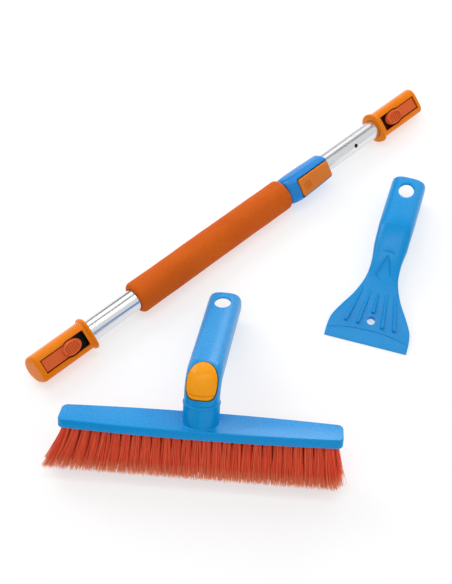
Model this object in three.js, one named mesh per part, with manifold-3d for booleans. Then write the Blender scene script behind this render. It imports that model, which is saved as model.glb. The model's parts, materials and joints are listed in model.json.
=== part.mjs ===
// Modular snow tool set: a telescopic pole with a plug connector at each end, a swivel brush head and an
// ice scraper. The hollow handles of the brush and the scraper slide over either plug, and the plug's latch
// pad clicks into the hole near the handle's mouth. Here the three modules lie side by side on the ground.
// Millimetres, +Z up, origin on the ground under the middle of the layout, +X right and +Y away.
import * as THREE from "three";
import { mergeVertices } from "three/addons/utils/BufferGeometryUtils.js";
import Module from "manifold-3d";

const wasm = await Module();
wasm.setup();

// Layout on the ground
const POLE_END = [-208, -121];
const POLE_YAW = 42.1;
const POLE_ROLL = 43;
const LOCK_TURN = 12; // the lock sits turned about the tube, against the plugs
const BRUSH_CENTRE = [-26, -203];
const BRUSH_YAW = -5;
const HEAD_TURN = -3; // the handle's turn about the neck, against the block
const SCRAPER_EDGE = [152, -73.5];
const SCRAPER_YAW = -17;

// Shared sizes
const GAP = 0.3; // clearance between touching pieces
const SIDES = 24; // facets round a moulded section
const ROUND = 24; // facets round a tube
const LATCH_HOLE = { fromMouth: 24, halfLength: 12, halfWidth: 8.8 };

// Pole, along its own x axis from the near plug's tip
const POLE_LENGTH = 600;
const OUTER_TUBE = { radius: 12.5, bore: 11.7, end: 414 };
const INNER_TUBE = { radius: 11.3, bore: 10.5, start: 192 };
const PIN_HOLES = { first: 248, pitch: 59, count: 5, radius: 2.5 };
const FOAM = { start: 142, end: 370, radius: 19, rounding: 5 };
const COLLAR = { start: 370.3, end: 435 };
const ROCKER = { start: 383.5, end: 433.2, startHalf: 11.2, endHalf: 10, corner: 4, margin: 1.1, pinX: 425 };
const PIVOT = { x: 408, z: 14.8, radius: 1.1, half: 12 };
const RIVET_X = 394;

// Plug connector, from its tip
const PLUG = {
  length: 76,
  half: 16.2,
  face: 13.5,
  back: 16.2,
  power: 3.4,
  wall: 2.4,
  flange: 3.5,
  lip: 2.7,
  tubeStart: 69,
};
const TIP_LEAN = 0.17; // the end face leans back towards the latch side
const ARM = { start: 12, half: 6.9, top: 11.6, thick: 2.4, gap: 1.3 };
const PAD = { x: 48.5, halfLength: 11.5, halfWidth: 7.8, top: 15.2, ribs: 6 };
const WINDOW_END = 68;
const PLUG_RIVET_X = 60;

// Brush, z = 0 on top of the block, +y towards the handle's mouth
const BLOCK = { half: 142.5, middle: 21, ends: 16.5, thick: 10, corner: 8 };
const NECK = { radius: 18.5, height: 25.5 };
const ROWS = [-11.4, -3.8, 3.8, 11.4];
const TUFTS = {
  count: 27,
  reach: 130.8,
  base: 3,
  length: 51,
  tip: 5.8,
  depth: 0.62,
  leftFlare: 19.7,
  rightFlare: 7.7,
};
const STRIP_END = TUFTS.reach + 5.3; // half length of the strip that a row of tufts is set in
const BEND = { radius: 20, angle: 87 };
const HANDLE_REACH = 171;
const HANDLE = { half: 18.4, face: 15.8, back: 18.2, power: 3.1 };
const SOCKET = { half: 16.7, face: 14, back: 16.7, power: 3.4, depth: 74 };
const BUTTON = { halfWidth: 15, halfLength: 19.6, blunt: 3.2, gap: 0.8, proud: 0.9, thick: 3, turn: 0.48 };

// Scraper, along its own x axis from the blade's edge; z = 0 on the ground, +z towards the latch face
const SCRAPER_LENGTH = 219;
const HANDLE_SLOPE = 10; // the handle runs down from the neck to its mouth
const MOUTH_Z = 18.5;
const GRIP = { half: 20.1, face: 16.1, back: 18.5, power: 3.1 };
const NECK_X = 101;
const BLADE_HOLE = { x: 27, radius: 4.8 };
const FAN_RIBS = 5;
const RIB = { width: 3.4, height: 4.4, startSpread: 27.5, endSpread: 19 };
const DROP = { tip: 100, base: 78, half: 9.6, depth: 1.3 };
const BEVEL = { ends: 9.5, middle: 16, slope: 0.2056, height: 1.4 };

const COLOURS = {
  blue: 0x1e90dc,
  orange: 0xe5780c,
  deepOrange: 0xc4511f,
  foam: 0xd9660f,
  golden: 0xf0a010,
  bristle: 0xd2452b,
  black: 0x17171a,
  maroon: 0x5a1410,
  metal: 0xd6d8da,
  steel: 0x9a9da1,
};

// ---------- solids ----------

function toSolid(geometry) {
  const bare = geometry.clone();
  bare.deleteAttribute("normal");
  bare.deleteAttribute("uv");
  const merged = mergeVertices(bare, 1e-4);
  return new wasm.Manifold(
    new wasm.Mesh({
      numProp: 3,
      vertProperties: merged.attributes.position.array,
      triVerts: new Uint32Array(merged.index.array),
    }),
  );
}

function toGeometry(solid) {
  const mesh = solid.getMesh();
  return new THREE.BufferGeometry()
    .setAttribute("position", new THREE.BufferAttribute(new Float32Array(mesh.vertProperties), 3))
    .setIndex(new THREE.BufferAttribute(new Uint32Array(mesh.triVerts), 1));
}

const join = (first, ...more) =>
  toGeometry(more.reduce((sum, shape) => sum.add(toSolid(shape)), toSolid(first)));
const cut = (first, ...tools) =>
  toGeometry(tools.reduce((rest, tool) => rest.subtract(toSolid(tool)), toSolid(first)));
const common = (first, second) => toGeometry(toSolid(first).intersect(toSolid(second)));

function piece(name, geometry, colour, { metal = 0, rough = 0.45 } = {}) {
  const drawn = geometry.index ? geometry.toNonIndexed() : geometry;
  drawn.computeVertexNormals();
  const finish = { color: COLOURS[colour], metalness: metal, roughness: rough, flatShading: true };
  const mesh = new THREE.Mesh(drawn, new THREE.MeshStandardMaterial(finish));
  mesh.name = name;
  return mesh;
}

const METAL = { metal: 1, rough: 0.2 };

// ---------- basic shapes ----------

// Turned solid about the x axis. The profile lists [x, radius] anticlockwise seen with x up, radius right.
function turned(profile, segments = ROUND) {
  const points = profile.map(([x, radius]) => new THREE.Vector2(radius, x));
  return new THREE.LatheGeometry([...points, points[0].clone()], segments).rotateZ(-Math.PI / 2);
}

const rod = (radius, from, to, segments = ROUND) =>
  new THREE.CylinderGeometry(radius, radius, to - from, segments)
    .rotateZ(-Math.PI / 2)
    .translate((from + to) / 2, 0, 0);

// Upright rod, along z, at x, y.
const post = (radius, from, to, x = 0, y = 0, segments = 20) =>
  rod(radius, from, to, segments).rotateY(-Math.PI / 2).translate(x, y, 0);

// Rod along y at x, z.
const crossRod = (radius, half, x, z, segments = 16) =>
  new THREE.CylinderGeometry(radius, radius, 2 * half, segments).translate(x, 0, z);

function tube({ radius, bore }, from, to) {
  return turned([
    [from, bore],
    [from, radius],
    [to, radius],
    [to, bore],
  ]);
}

function box(x0, x1, y0, y1, z0, z1) {
  return new THREE.BoxGeometry(x1 - x0, y1 - y0, z1 - z0).translate(
    (x0 + x1) / 2,
    (y0 + y1) / 2,
    (z0 + z1) / 2,
  );
}

// Plate with an oval outline, lying in x, y.
function oval(x, halfLength, halfWidth, z0, z1, bevel = 0) {
  const outline = new THREE.Shape().absellipse(0, 0, halfLength - bevel, halfWidth - bevel, 0, 2 * Math.PI);
  const plate = new THREE.ExtrudeGeometry(outline, {
    depth: z1 - z0 - bevel,
    curveSegments: 10,
    bevelEnabled: bevel > 0,
    bevelThickness: bevel,
    bevelSize: bevel,
    bevelSegments: 2,
  });
  return plate.translate(x, 0, z0);
}

// Compression spring along z: a round wire wound on a helix.
class Helix extends THREE.Curve {
  constructor(radius, height, turns) {
    super();
    Object.assign(this, { radius, height, turns });
  }
  getPoint(t) {
    const angle = 2 * Math.PI * this.turns * t;
    return new THREE.Vector3(
      this.radius * Math.cos(angle),
      this.radius * Math.sin(angle),
      this.height * t,
    );
  }
}

function coil(radius, wire, height, turns) {
  const section = new THREE.Shape().absarc(0, 0, wire, 0, 2 * Math.PI);
  return new THREE.ExtrudeGeometry(section, {
    steps: turns * 8,
    curveSegments: 3,
    bevelEnabled: false,
    extrudePath: new Helix(radius, height, turns),
  });
}

// ---------- moulded sections ----------

// One ring of a moulded section, y across and z towards the latch face, placed by a frame whose x axis runs
// along the piece. Powers above 2 square the face or the back.
function ring({ half, face, back, power = 2.8, backPower = 2 }, frame) {
  return Array.from({ length: SIDES }, (_, i) => {
    const angle = (2 * Math.PI * i) / SIDES;
    const exponent = 2 / (i <= SIDES / 2 ? power : backPower);
    const across = half * Math.sign(Math.cos(angle)) * Math.abs(Math.cos(angle)) ** exponent;
    const height = Math.abs(Math.sin(angle)) ** exponent;
    const up = i <= SIDES / 2 ? face * height : -back * height;
    return new THREE.Vector3(0, across, up).applyMatrix4(frame);
  });
}

// Frame at a point of the x axis.
const at = (x, z = 0) => new THREE.Matrix4().makeTranslation(x, 0, z);

// Closed solid through a row of rings, each in turn further along.
function loft(rings) {
  const count = rings[0].length;
  const middle = (points) =>
    points.reduce((sum, p) => sum.add(p), new THREE.Vector3()).divideScalar(points.length);
  const points = [...rings.flat(), middle(rings[0]), middle(rings.at(-1))];
  const first = points.length - 2;
  const faces = [];
  rings.slice(1).forEach((_, row) => {
    for (let i = 0; i < count; i++) {
      const a = row * count + i;
      const b = row * count + ((i + 1) % count);
      faces.push(a, b, a + count, b, b + count, a + count);
    }
  });
  const last = (rings.length - 1) * count;
  for (let i = 0; i < count; i++) {
    const next = (i + 1) % count;
    faces.push(first, next, i, first + 1, last + i, last + next);
  }
  const positions = new Float32Array(points.flatMap((p) => p.toArray()));
  return new THREE.BufferGeometry()
    .setAttribute("position", new THREE.BufferAttribute(positions, 3))
    .setIndex(faces);
}

// Sections between key sections, eased so that each key is met smoothly. A key is an object of numbers
// with an x.
function easedSections(keys, step) {
  const names = Object.keys(keys[0]);
  const sections = [keys[0]];
  for (let k = 1; k < keys.length; k++) {
    const parts = Math.max(1, Math.round((keys[k].x - keys[k - 1].x) / step));
    for (let i = 1; i <= parts; i++) {
      const values = names.map((name) => {
        const ends = [k - 2, k - 1, k, k + 1].map((j) => keys[THREE.MathUtils.clamp(j, 0, keys.length - 1)]);
        return [name, catmullRom(i / parts, ends, name)];
      });
      sections.push(Object.fromEntries(values));
    }
  }
  return sections;
}

// Cubic through the middle two of four keys, whose slopes come from their neighbours.
function catmullRom(t, [before, from, to, after], name) {
  const span = to.x - from.x;
  const slopeFrom = ((to[name] - before[name]) / (to.x - before.x)) * span;
  const slopeTo = ((after[name] - from[name]) / (after.x - from.x)) * span;
  const a = 2 * from[name] - 2 * to[name] + slopeFrom + slopeTo;
  const b = 3 * to[name] - 3 * from[name] - 2 * slopeFrom - slopeTo;
  return ((a * t + b) * t + slopeFrom) * t + from[name];
}

// ---------- plug connector ----------

const grown = ({ half, face, back, power }, by) => ({
  half: half + by,
  face: face + by,
  back: back + by,
  power,
});

// Outline of the latch arm, or of its window when it is grown: a slim arm that ends in an oval pad.
function armPlate(grow, z0, z1) {
  const slim = box(ARM.start - grow, PAD.x, -ARM.half - grow, ARM.half + grow, z0, z1);
  const round = oval(PAD.x, PAD.halfLength + 1.2 + grow, PAD.halfWidth + 0.7 + grow, z0, z1);
  return join(slim, round);
}

function plugShell(tubeRadius) {
  const leaning = (x, shrink) =>
    ring(grown(PLUG, -shrink), new THREE.Matrix4().makeShear(0, 0, 0, 0, TIP_LEAN, 0).setPosition(x, 0, 0));
  const body = loft([
    leaning(3, 3.2),
    leaning(3.4, 1.6),
    leaning(4.6, 0.5),
    leaning(6.4, 0),
    ring(PLUG, at(12)),
    ring(PLUG, at(PLUG.length - PLUG.flange - 0.5)),
  ]);
  const flangeStart = PLUG.length - PLUG.flange;
  const flange = loft([
    ring(grown(PLUG, -1), at(flangeStart - 1.4)),
    ring(grown(PLUG, PLUG.lip - 0.6), at(flangeStart)),
    ring(grown(PLUG, PLUG.lip), at(flangeStart + 0.8)),
    ring(grown(PLUG, PLUG.lip), at(PLUG.length - 0.8)),
    ring(grown(PLUG, PLUG.lip - 0.7), at(PLUG.length)),
  ]);
  const hollow = loft([
    ring(grown(PLUG, -PLUG.wall - 1), at(8)),
    ring(grown(PLUG, -PLUG.wall), at(10)),
    ring(grown(PLUG, -PLUG.wall), at(PLUG.tubeStart - GAP)),
  ]);
  const window = join(armPlate(ARM.gap, 6, 30), box(PAD.x, WINDOW_END, -9.4, 9.4, 6, 30));
  return cut(
    join(body, flange),
    hollow,
    window,
    rod(tubeRadius + GAP, PLUG.tubeStart - 1, PLUG.length + 1),
    post(2 + GAP, -30, -6, PLUG_RIVET_X),
  );
}

// Inner plug that fills the shell under the latch arm and stands in the end of the tube.
function plugCore(tubeBore, spigotEnd) {
  const inner = grown(PLUG, -PLUG.wall - GAP);
  const filling = loft([
    ring(grown(inner, -1), at(8 + GAP)),
    ring(inner, at(10 + GAP)),
    ring(inner, at(PLUG.tubeStart - 2 * GAP)),
  ]);
  const trough = cut(filling, box(0, PLUG.length, -30, 30, 4.6, 30), box(14, 52, -8, 8, -8, 30));
  const spigot = rod(tubeBore - GAP, PLUG.tubeStart - 3, spigotEnd);
  const lightening = rod(tubeBore - 4, PLUG.tubeStart + 6, spigotEnd + 1, 16);
  return cut(join(trough, spigot), lightening, post(2 + GAP, -30, -9.4, PLUG_RIVET_X));
}

function latchArm() {
  const arm = armPlate(0, ARM.top - ARM.thick, ARM.top);
  const pad = oval(PAD.x, PAD.halfLength, PAD.halfWidth, ARM.top - 1, PAD.top, 1.6);
  const pitch = (1.5 * PAD.halfLength) / PAD.ribs;
  const grooves = Array.from({ length: PAD.ribs }, (_, i) => {
    const x = PAD.x + (i - (PAD.ribs - 1) / 2) * pitch;
    return box(x - 0.6, x + 0.6, -5.4, 5.4, PAD.top - 0.8, PAD.top + 1);
  });
  return cut(join(arm, pad), ...grooves);
}

// Domed rivet from the back of the shell into the core.
function plugRivet() {
  const outside = -PLUG.back - 1.5;
  const head = new THREE.SphereGeometry(3.2, 10, 6).scale(1, 1, 0.35).translate(PLUG_RIVET_X, 0, outside);
  return join(post(2, outside, -9.7, PLUG_RIVET_X, 0, 14), head);
}

function connector(side, tube, spigotEnd) {
  const group = new THREE.Group();
  group.add(
    piece(`${side}_connector_shell`, plugShell(tube.radius), "orange"),
    piece(`${side}_connector_core`, plugCore(tube.bore, spigotEnd), side === "near" ? "black" : "maroon"),
    piece(`${side}_latch_arm`, latchArm(), "deepOrange"),
    piece(`${side}_connector_rivet`, plugRivet(), "steel", METAL),
  );
  return group;
}

// ---------- pole ----------

function outerTube() {
  const wall = tube(OUTER_TUBE, PLUG.tubeStart, OUTER_TUBE.end);
  return cut(wall, post(1.7 + GAP, -30, 0, RIVET_X));
}

function innerTube() {
  const end = POLE_LENGTH - PLUG.tubeStart;
  const holes = Array.from({ length: PIN_HOLES.count }, (_, i) =>
    post(PIN_HOLES.radius, 0, 30, PIN_HOLES.first + i * PIN_HOLES.pitch),
  );
  return cut(tube(INNER_TUBE, INNER_TUBE.start, end), ...holes);
}

function foamGrip() {
  const bore = OUTER_TUBE.radius + GAP;
  const profile = [[FOAM.start, bore]];
  const steps = 4;
  for (let i = 0; i <= steps; i++) {
    const angle = (i / steps) * (Math.PI / 2);
    const inset = FOAM.rounding * (1 - Math.sin(angle));
    profile.push([FOAM.start + FOAM.rounding * (1 - Math.cos(angle)), FOAM.radius - inset]);
  }
  for (let i = steps; i >= 0; i--) {
    const angle = (i / steps) * (Math.PI / 2);
    const inset = FOAM.rounding * (1 - Math.sin(angle));
    profile.push([FOAM.end - FOAM.rounding * (1 - Math.cos(angle)), FOAM.radius - inset]);
  }
  return turned([...profile, [FOAM.end, bore]]);
}

// Height of the collar's lever face above the pole's axis.
const collarFace = (x) => THREE.MathUtils.mapLinear(x, ROCKER.start, COLLAR.end, 20.4, 17.2);

// Upright solid over the lever's outline: tapered, with rounded corners.
function leverPlan(grow, end, z0, z1) {
  const { start, startHalf, endHalf, corner } = ROCKER;
  const near = start - grow;
  const wide = startHalf + grow;
  const slim = endHalf + grow;
  const outline = new THREE.Shape();
  outline.moveTo(near, -wide + corner);
  outline.quadraticCurveTo(near, -wide, near + corner, -wide);
  outline.lineTo(end - corner / 2, -slim);
  outline.quadraticCurveTo(end, -slim, end, -slim + corner / 2);
  outline.lineTo(end, slim - corner / 2);
  outline.quadraticCurveTo(end, slim, end - corner / 2, slim);
  outline.lineTo(near + corner, wide);
  outline.quadraticCurveTo(near, wide, near, wide - corner);
  return new THREE.ExtrudeGeometry(outline, {
    depth: z1 - z0,
    bevelEnabled: false,
    curveSegments: 5,
  }).translate(0, 0, z0);
}

function lockCollar() {
  const section = (x, half, face, back) => ring({ half, face, back, power: 3.6, backPower: 2.2 }, at(x));
  const body = loft([
    section(COLLAR.start, 14.8, 15.6, 14.8),
    section(COLLAR.start + 2, 15.4, 16.4, 15.2),
    section(COLLAR.start + 7, 16, 18.6, 15.4),
    section(ROCKER.start, 16.2, collarFace(ROCKER.start), 15.4),
    section(PIVOT.x, 15.8, collarFace(PIVOT.x), 15),
    section(COLLAR.end - 4, 15, collarFace(COLLAR.end - 4), 14.4),
    section(COLLAR.end - 1.2, 14.6, collarFace(COLLAR.end), 14),
    section(COLLAR.end, 13.8, collarFace(COLLAR.end) - 1, 13.4),
  ]);
  const pocket = join(
    leverPlan(ROCKER.margin, COLLAR.end + 10, 13.4, 30),
    crossRod(PIVOT.radius + GAP, PIVOT.half + GAP, PIVOT.x, PIVOT.z),
  );
  return cut(
    body,
    rod(OUTER_TUBE.radius + GAP, COLLAR.start - 1, OUTER_TUBE.end + 7),
    rod(INNER_TUBE.radius + 2 * GAP, OUTER_TUBE.end, COLLAR.end + 1),
    pocket,
    post(3, 0, 15, ROCKER.pinX),
    post(1.7 + GAP, -30, -12, RIVET_X),
  );
}

const guideBush = () =>
  tube({ radius: OUTER_TUBE.radius, bore: INNER_TUBE.radius + GAP }, OUTER_TUBE.end + GAP, OUTER_TUBE.end + 6.4);

// Flanged plastic end that keeps the inner tube centred in the outer tube.
function innerTubeEndBush() {
  const start = INNER_TUBE.start;
  return turned([
    [start - 8, 7],
    [start - 8, OUTER_TUBE.bore - 0.2],
    [start - GAP, OUTER_TUBE.bore - 0.2],
    [start - GAP, INNER_TUBE.bore - GAP],
    [start + 14, INNER_TUBE.bore - GAP],
    [start + 14, 7],
  ]);
}

// Rocking lever: a long plate under whose outer end the lock pin hangs, with grip ribs at its other end.
function lockRocker() {
  const side = new THREE.Shape();
  const { start, end } = ROCKER;
  const [high, low] = [collarFace(start), collarFace(end)];
  side.moveTo(start, 17.4);
  side.lineTo(PIVOT.x - 4, 14.9);
  side.lineTo(PIVOT.x - 1.8, 13.85);
  side.lineTo(PIVOT.x + 1.8, 13.85);
  side.lineTo(PIVOT.x + 3, 14.6);
  side.lineTo(end, 14.2);
  side.lineTo(end, low - 0.2);
  side.quadraticCurveTo(end - 0.4, low + 0.6, end - 3, low + 0.7);
  side.lineTo(start + 3, high + 0.7);
  side.quadraticCurveTo(start, high + 0.4, start, high - 0.8);
  const profile = new THREE.ExtrudeGeometry(side, { depth: 40, bevelEnabled: false, curveSegments: 4 })
    .rotateX(Math.PI / 2)
    .translate(0, 20, 0);
  const plate = common(profile, leverPlan(0, end + 1, 10, 30));
  const ribs = Array.from({ length: 5 }, (_, i) => {
    const x = ROCKER.start + 6 + i * 2.3;
    return box(x, x + 1.1, -4.5, 4.5, collarFace(x) - 0.4, collarFace(x) + 1.3);
  });
  return cut(
    join(plate, ...ribs),
    crossRod(PIVOT.radius + GAP, 14, PIVOT.x, PIVOT.z),
    post(2.3 + GAP, 10, 16, ROCKER.pinX),
  );
}

function rockerSpring() {
  const floor = 13.4 + GAP + 0.3;
  return coil(2.2, 0.25, 1.5, 2).translate(ROCKER.start + 4.5, 0, floor);
}

function collarRivet() {
  const head = new THREE.SphereGeometry(2.6, 10, 6).scale(1, 1, 0.35).translate(RIVET_X, 0, -15.9);
  return join(post(1.7, -16.2, -INNER_TUBE.radius - GAP, RIVET_X, 0, 14), head);
}

function pole() {
  const far = connector("far", INNER_TUBE, 98);
  far.position.x = POLE_LENGTH;
  far.rotation.z = Math.PI;
  const plugs = new THREE.Group();
  plugs.rotation.x = THREE.MathUtils.degToRad(POLE_ROLL);
  plugs.add(connector("near", OUTER_TUBE, 98), far);
  const lock = new THREE.Group();
  lock.rotation.x = THREE.MathUtils.degToRad(POLE_ROLL + LOCK_TURN);
  lock.add(
    piece("outer_tube", outerTube(), "metal", METAL),
    piece("inner_tube", innerTube(), "metal", METAL),
    piece("foam_grip", foamGrip(), "foam", { rough: 0.9 }),
    piece("lock_collar", lockCollar(), "blue"),
    piece("collar_guide_bush", guideBush(), "black"),
    piece("inner_tube_end_bush", innerTubeEndBush(), "black"),
    piece("lock_rocker", lockRocker(), "orange"),
    piece("rocker_pivot_pin", crossRod(PIVOT.radius, PIVOT.half, PIVOT.x, PIVOT.z, 14), "steel", METAL),
    piece("lock_pin", post(2.3, INNER_TUBE.radius + GAP, 15.7, ROCKER.pinX), "steel", METAL),
    piece("rocker_spring", rockerSpring(), "steel", METAL),
    piece("collar_rivet", collarRivet(), "steel", METAL),
  );
  const group = new THREE.Group();
  group.add(plugs, lock);
  group.position.set(...POLE_END, FOAM.radius);
  group.rotation.z = THREE.MathUtils.degToRad(POLE_YAW);
  return group;
}

// ---------- brush ----------

function blockOutline() {
  const { half, middle, ends, corner } = BLOCK;
  const control = 2 * middle - ends; // an edge bowed out to the middle width
  const outline = new THREE.Shape();
  outline.moveTo(-half + corner, -ends);
  outline.quadraticCurveTo(0, -control, half - corner, -ends);
  outline.quadraticCurveTo(half, -ends, half, -ends + corner);
  outline.lineTo(half, ends - corner);
  outline.quadraticCurveTo(half, ends, half - corner, ends);
  outline.quadraticCurveTo(0, control, -half + corner, ends);
  outline.quadraticCurveTo(-half, ends, -half, ends - corner);
  outline.lineTo(-half, -ends + corner);
  outline.quadraticCurveTo(-half, -ends, -half + corner, -ends);
  return outline;
}

function brushBlock() {
  const plate = new THREE.ExtrudeGeometry(blockOutline(), {
    depth: BLOCK.thick - 2.4,
    bevelThickness: 1.2,
    bevelSize: 1.2,
    bevelOffset: -1.2,
    bevelSegments: 2,
    curveSegments: 10,
  }).translate(0, 0, -BLOCK.thick + 1.2);
  const neck = turned([
    [-4, 0],
    [-4, NECK.radius + 0.8],
    [0, NECK.radius + 0.8],
    [1.2, NECK.radius + 0.2],
    [3.5, NECK.radius],
    [NECK.height - 1, NECK.radius],
    [NECK.height, NECK.radius - 0.8],
    [NECK.height, 0],
  ]).rotateY(-Math.PI / 2);
  const recess = turned([
    [8, 7],
    [8, 15],
    [NECK.height + 1, 15],
    [NECK.height + 1, 7],
  ]).rotateY(-Math.PI / 2);
  const end = STRIP_END + 0.5;
  const side = TUFTS.base + GAP;
  const grooves = ROWS.map((y) => box(-end, end, y - side, y + side, -30, -BLOCK.thick + 3.3));
  return cut(join(plate, neck), recess, post(2.5 + GAP, 2, 40), ...grooves);
}

// One row of tufts on its strip. Each tuft spreads towards its tips, more along the row's ends, and the rows
// are staggered by half a pitch.
function bristleRow(y, index) {
  const top = -BLOCK.thick + 3;
  const pitch = (2 * TUFTS.reach) / (TUFTS.count - 1);
  const shift = ((index % 2 ? 1 : -1) * pitch) / 4;
  const strip = box(-STRIP_END, STRIP_END, y - TUFTS.base, y + TUFTS.base, -BLOCK.thick + 0.5, top);
  const tufts = Array.from({ length: TUFTS.count }, (_, i) => {
    const along = (2 * i) / (TUFTS.count - 1) - 1;
    const flare = (along < 0 ? TUFTS.leftFlare : TUFTS.rightFlare) * along * Math.abs(along) ** 1.5;
    const tuft = new THREE.CylinderGeometry(TUFTS.base, TUFTS.tip, TUFTS.length + 1, 5, 1)
      .rotateX(Math.PI / 2)
      .scale(1, TUFTS.depth, 1)
      .translate(0, 0, -(TUFTS.length + 1) / 2);
    const lean = new THREE.Matrix4().makeShear(0, 0, 0, 0, -flare / TUFTS.length, 0);
    return tuft.applyMatrix4(lean).translate(along * TUFTS.reach + shift, y, -BLOCK.thick + 1);
  });
  return join(strip, ...tufts);
}

// Frames along the handle: up from the neck, round the bend and out to the mouth. The latch face is on the
// outside of the bend.
function handleFrame(turn, beyond = 0) {
  const tangent = new THREE.Vector3(0, Math.sin(turn), Math.cos(turn));
  const outside = new THREE.Vector3(0, -Math.cos(turn), Math.sin(turn));
  const point = new THREE.Vector3(0, BEND.radius, NECK.height + GAP)
    .addScaledVector(outside, BEND.radius)
    .addScaledVector(tangent, beyond);
  return new THREE.Matrix4().makeBasis(tangent, new THREE.Vector3(-1, 0, 0), outside).setPosition(point);
}

const BEND_TURN = THREE.MathUtils.degToRad(BEND.angle);
const BEND_REACH = BEND.radius * (1 - Math.cos(BEND_TURN));
const STRAIGHT = (HANDLE_REACH - BEND_REACH) / Math.sin(BEND_TURN);

function handleBody(grow) {
  const rings = [];
  const steps = 10;
  for (let i = 0; i <= steps; i++) {
    const t = i / steps;
    const section = {
      half: 17.9 + 0.3 * t + grow,
      face: THREE.MathUtils.lerp(17.9, HANDLE.face + 0.6, t * t) + grow,
      back: 17.9 + grow,
      power: 2 + 0.8 * t,
    };
    rings.push(ring(section, handleFrame(t * BEND_TURN)));
  }
  rings.push(ring({ ...grown(HANDLE, grow - 0.3), power: 3 }, handleFrame(BEND_TURN, STRAIGHT * 0.45)));
  rings.push(ring(grown(HANDLE, grow), handleFrame(BEND_TURN, STRAIGHT - 12)));
  rings.push(ring(grown(HANDLE, grow), handleFrame(BEND_TURN, STRAIGHT - 2.5)));
  rings.push(ring(grown(HANDLE, grow - 0.15), handleFrame(BEND_TURN, STRAIGHT - 0.6)));
  rings.push(ring(grown(HANDLE, grow - 0.5), handleFrame(BEND_TURN, STRAIGHT)));
  return loft(rings);
}

// Socket that takes the plug, with a narrower core hole behind it. The frame's x axis points out of the mouth.
function socketHollow(frameAt, coreDepth) {
  const socket = loft([
    ring(grown(SOCKET, -1.5), frameAt(-SOCKET.depth)),
    ring(SOCKET, frameAt(-SOCKET.depth + 3)),
    ring(SOCKET, frameAt(1)),
  ]);
  const core = loft([
    ring(grown(SOCKET, -5), frameAt(-coreDepth)),
    ring(grown(SOCKET, -2.6), frameAt(-SOCKET.depth + 1)),
  ]);
  return join(socket, core);
}

function latchHole(frame) {
  return oval(-LATCH_HOLE.fromMouth, LATCH_HOLE.halfLength, LATCH_HOLE.halfWidth, 4, 40).applyMatrix4(frame);
}

// The button's own frame at the middle of the bend, with z pointing out through the button.
const BUTTON_FRAME = handleFrame(BEND_TURN * BUTTON.turn);

// Upright solid over the button's outline, an arch that is blunt at its lower end.
function buttonPrism(grow, from, to) {
  const points = Array.from({ length: 28 }, (_, i) => {
    const angle = (2 * Math.PI * i) / 28;
    const [c, s] = [Math.cos(angle), Math.sin(angle)];
    const exponent = c < 0 ? 2 / BUTTON.blunt : 1;
    return new THREE.Vector2(
      (BUTTON.halfLength + grow) * Math.sign(c) * Math.abs(c) ** exponent,
      (BUTTON.halfWidth + grow) * Math.sign(s) * Math.abs(s) ** exponent,
    );
  });
  const plate = new THREE.ExtrudeGeometry(new THREE.Shape(points), { depth: to - from, bevelEnabled: false });
  return plate.translate(0.5, 0, from).applyMatrix4(BUTTON_FRAME);
}

function brushHandle() {
  const mouth = (x) => handleFrame(BEND_TURN, STRAIGHT + x);
  const guide = post(3.4, -7, 5).applyMatrix4(BUTTON_FRAME);
  return cut(
    handleBody(0),
    socketHollow(mouth, 102),
    latchHole(mouth(0)),
    buttonPrism(BUTTON.gap, 3.5, 40),
    guide,
    post(3 + GAP, 20, 40),
    post(7.5, 31.5, 52),
  );
}

function swivelButton() {
  const cap = cut(handleBody(BUTTON.proud), handleBody(-BUTTON.thick));
  const shell = common(cap, buttonPrism(0, 7, 40));
  const stem = post(3, -1, 17).applyMatrix4(BUTTON_FRAME);
  return join(shell, stem);
}

const buttonSpring = () => coil(4.6, 0.5, 9, 4).translate(0, 0, 4.6).applyMatrix4(BUTTON_FRAME);

function swivelScrew() {
  return turned([
    [8, 0],
    [8, 2.2],
    [9, 2.5],
    [32.8, 2.5],
    [32.8, 5.2],
    [35, 5],
    [36.2, 3.4],
    [36.2, 0],
  ]).rotateY(-Math.PI / 2);
}

const swivelWasher = () => tube({ radius: 7, bore: 2.8 }, 31.5 + GAP, 32.5).rotateY(-Math.PI / 2);

// Tilt at which the block's back row of tufts and the handle's mouth both touch the ground.
function brushTilt() {
  const tips = [ROWS.at(-1) + TUFTS.tip * TUFTS.depth, -BLOCK.thick - TUFTS.length];
  const mouth = handleFrame(BEND_TURN, STRAIGHT - 2.5);
  const heel = new THREE.Vector3(0, 0, -HANDLE.back).applyMatrix4(mouth);
  return Math.atan2(heel.z - tips[1], heel.y - tips[0]);
}

function brush() {
  const handle = new THREE.Group();
  handle.rotation.z = THREE.MathUtils.degToRad(HEAD_TURN);
  handle.add(
    piece("brush_handle", brushHandle(), "blue"),
    piece("swivel_button", swivelButton(), "golden"),
    piece("button_spring", buttonSpring(), "steel", METAL),
    piece("swivel_screw", swivelScrew(), "steel", METAL),
    piece("swivel_washer", swivelWasher(), "steel", METAL),
  );
  const tilted = new THREE.Group();
  tilted.rotation.x = -brushTilt();
  tilted.add(handle, piece("brush_block", brushBlock(), "blue"));
  ROWS.forEach((y, i) => tilted.add(piece(`bristle_row_${i + 1}`, bristleRow(y, i), "bristle", { rough: 0.7 })));
  const group = new THREE.Group();
  group.add(tilted);
  group.rotation.z = THREE.MathUtils.degToRad(BRUSH_YAW);
  group.position.set(...BRUSH_CENTRE, 0);
  return standOnGround(group);
}

// ---------- scraper ----------

const SLOPE = THREE.MathUtils.degToRad(HANDLE_SLOPE);

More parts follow.
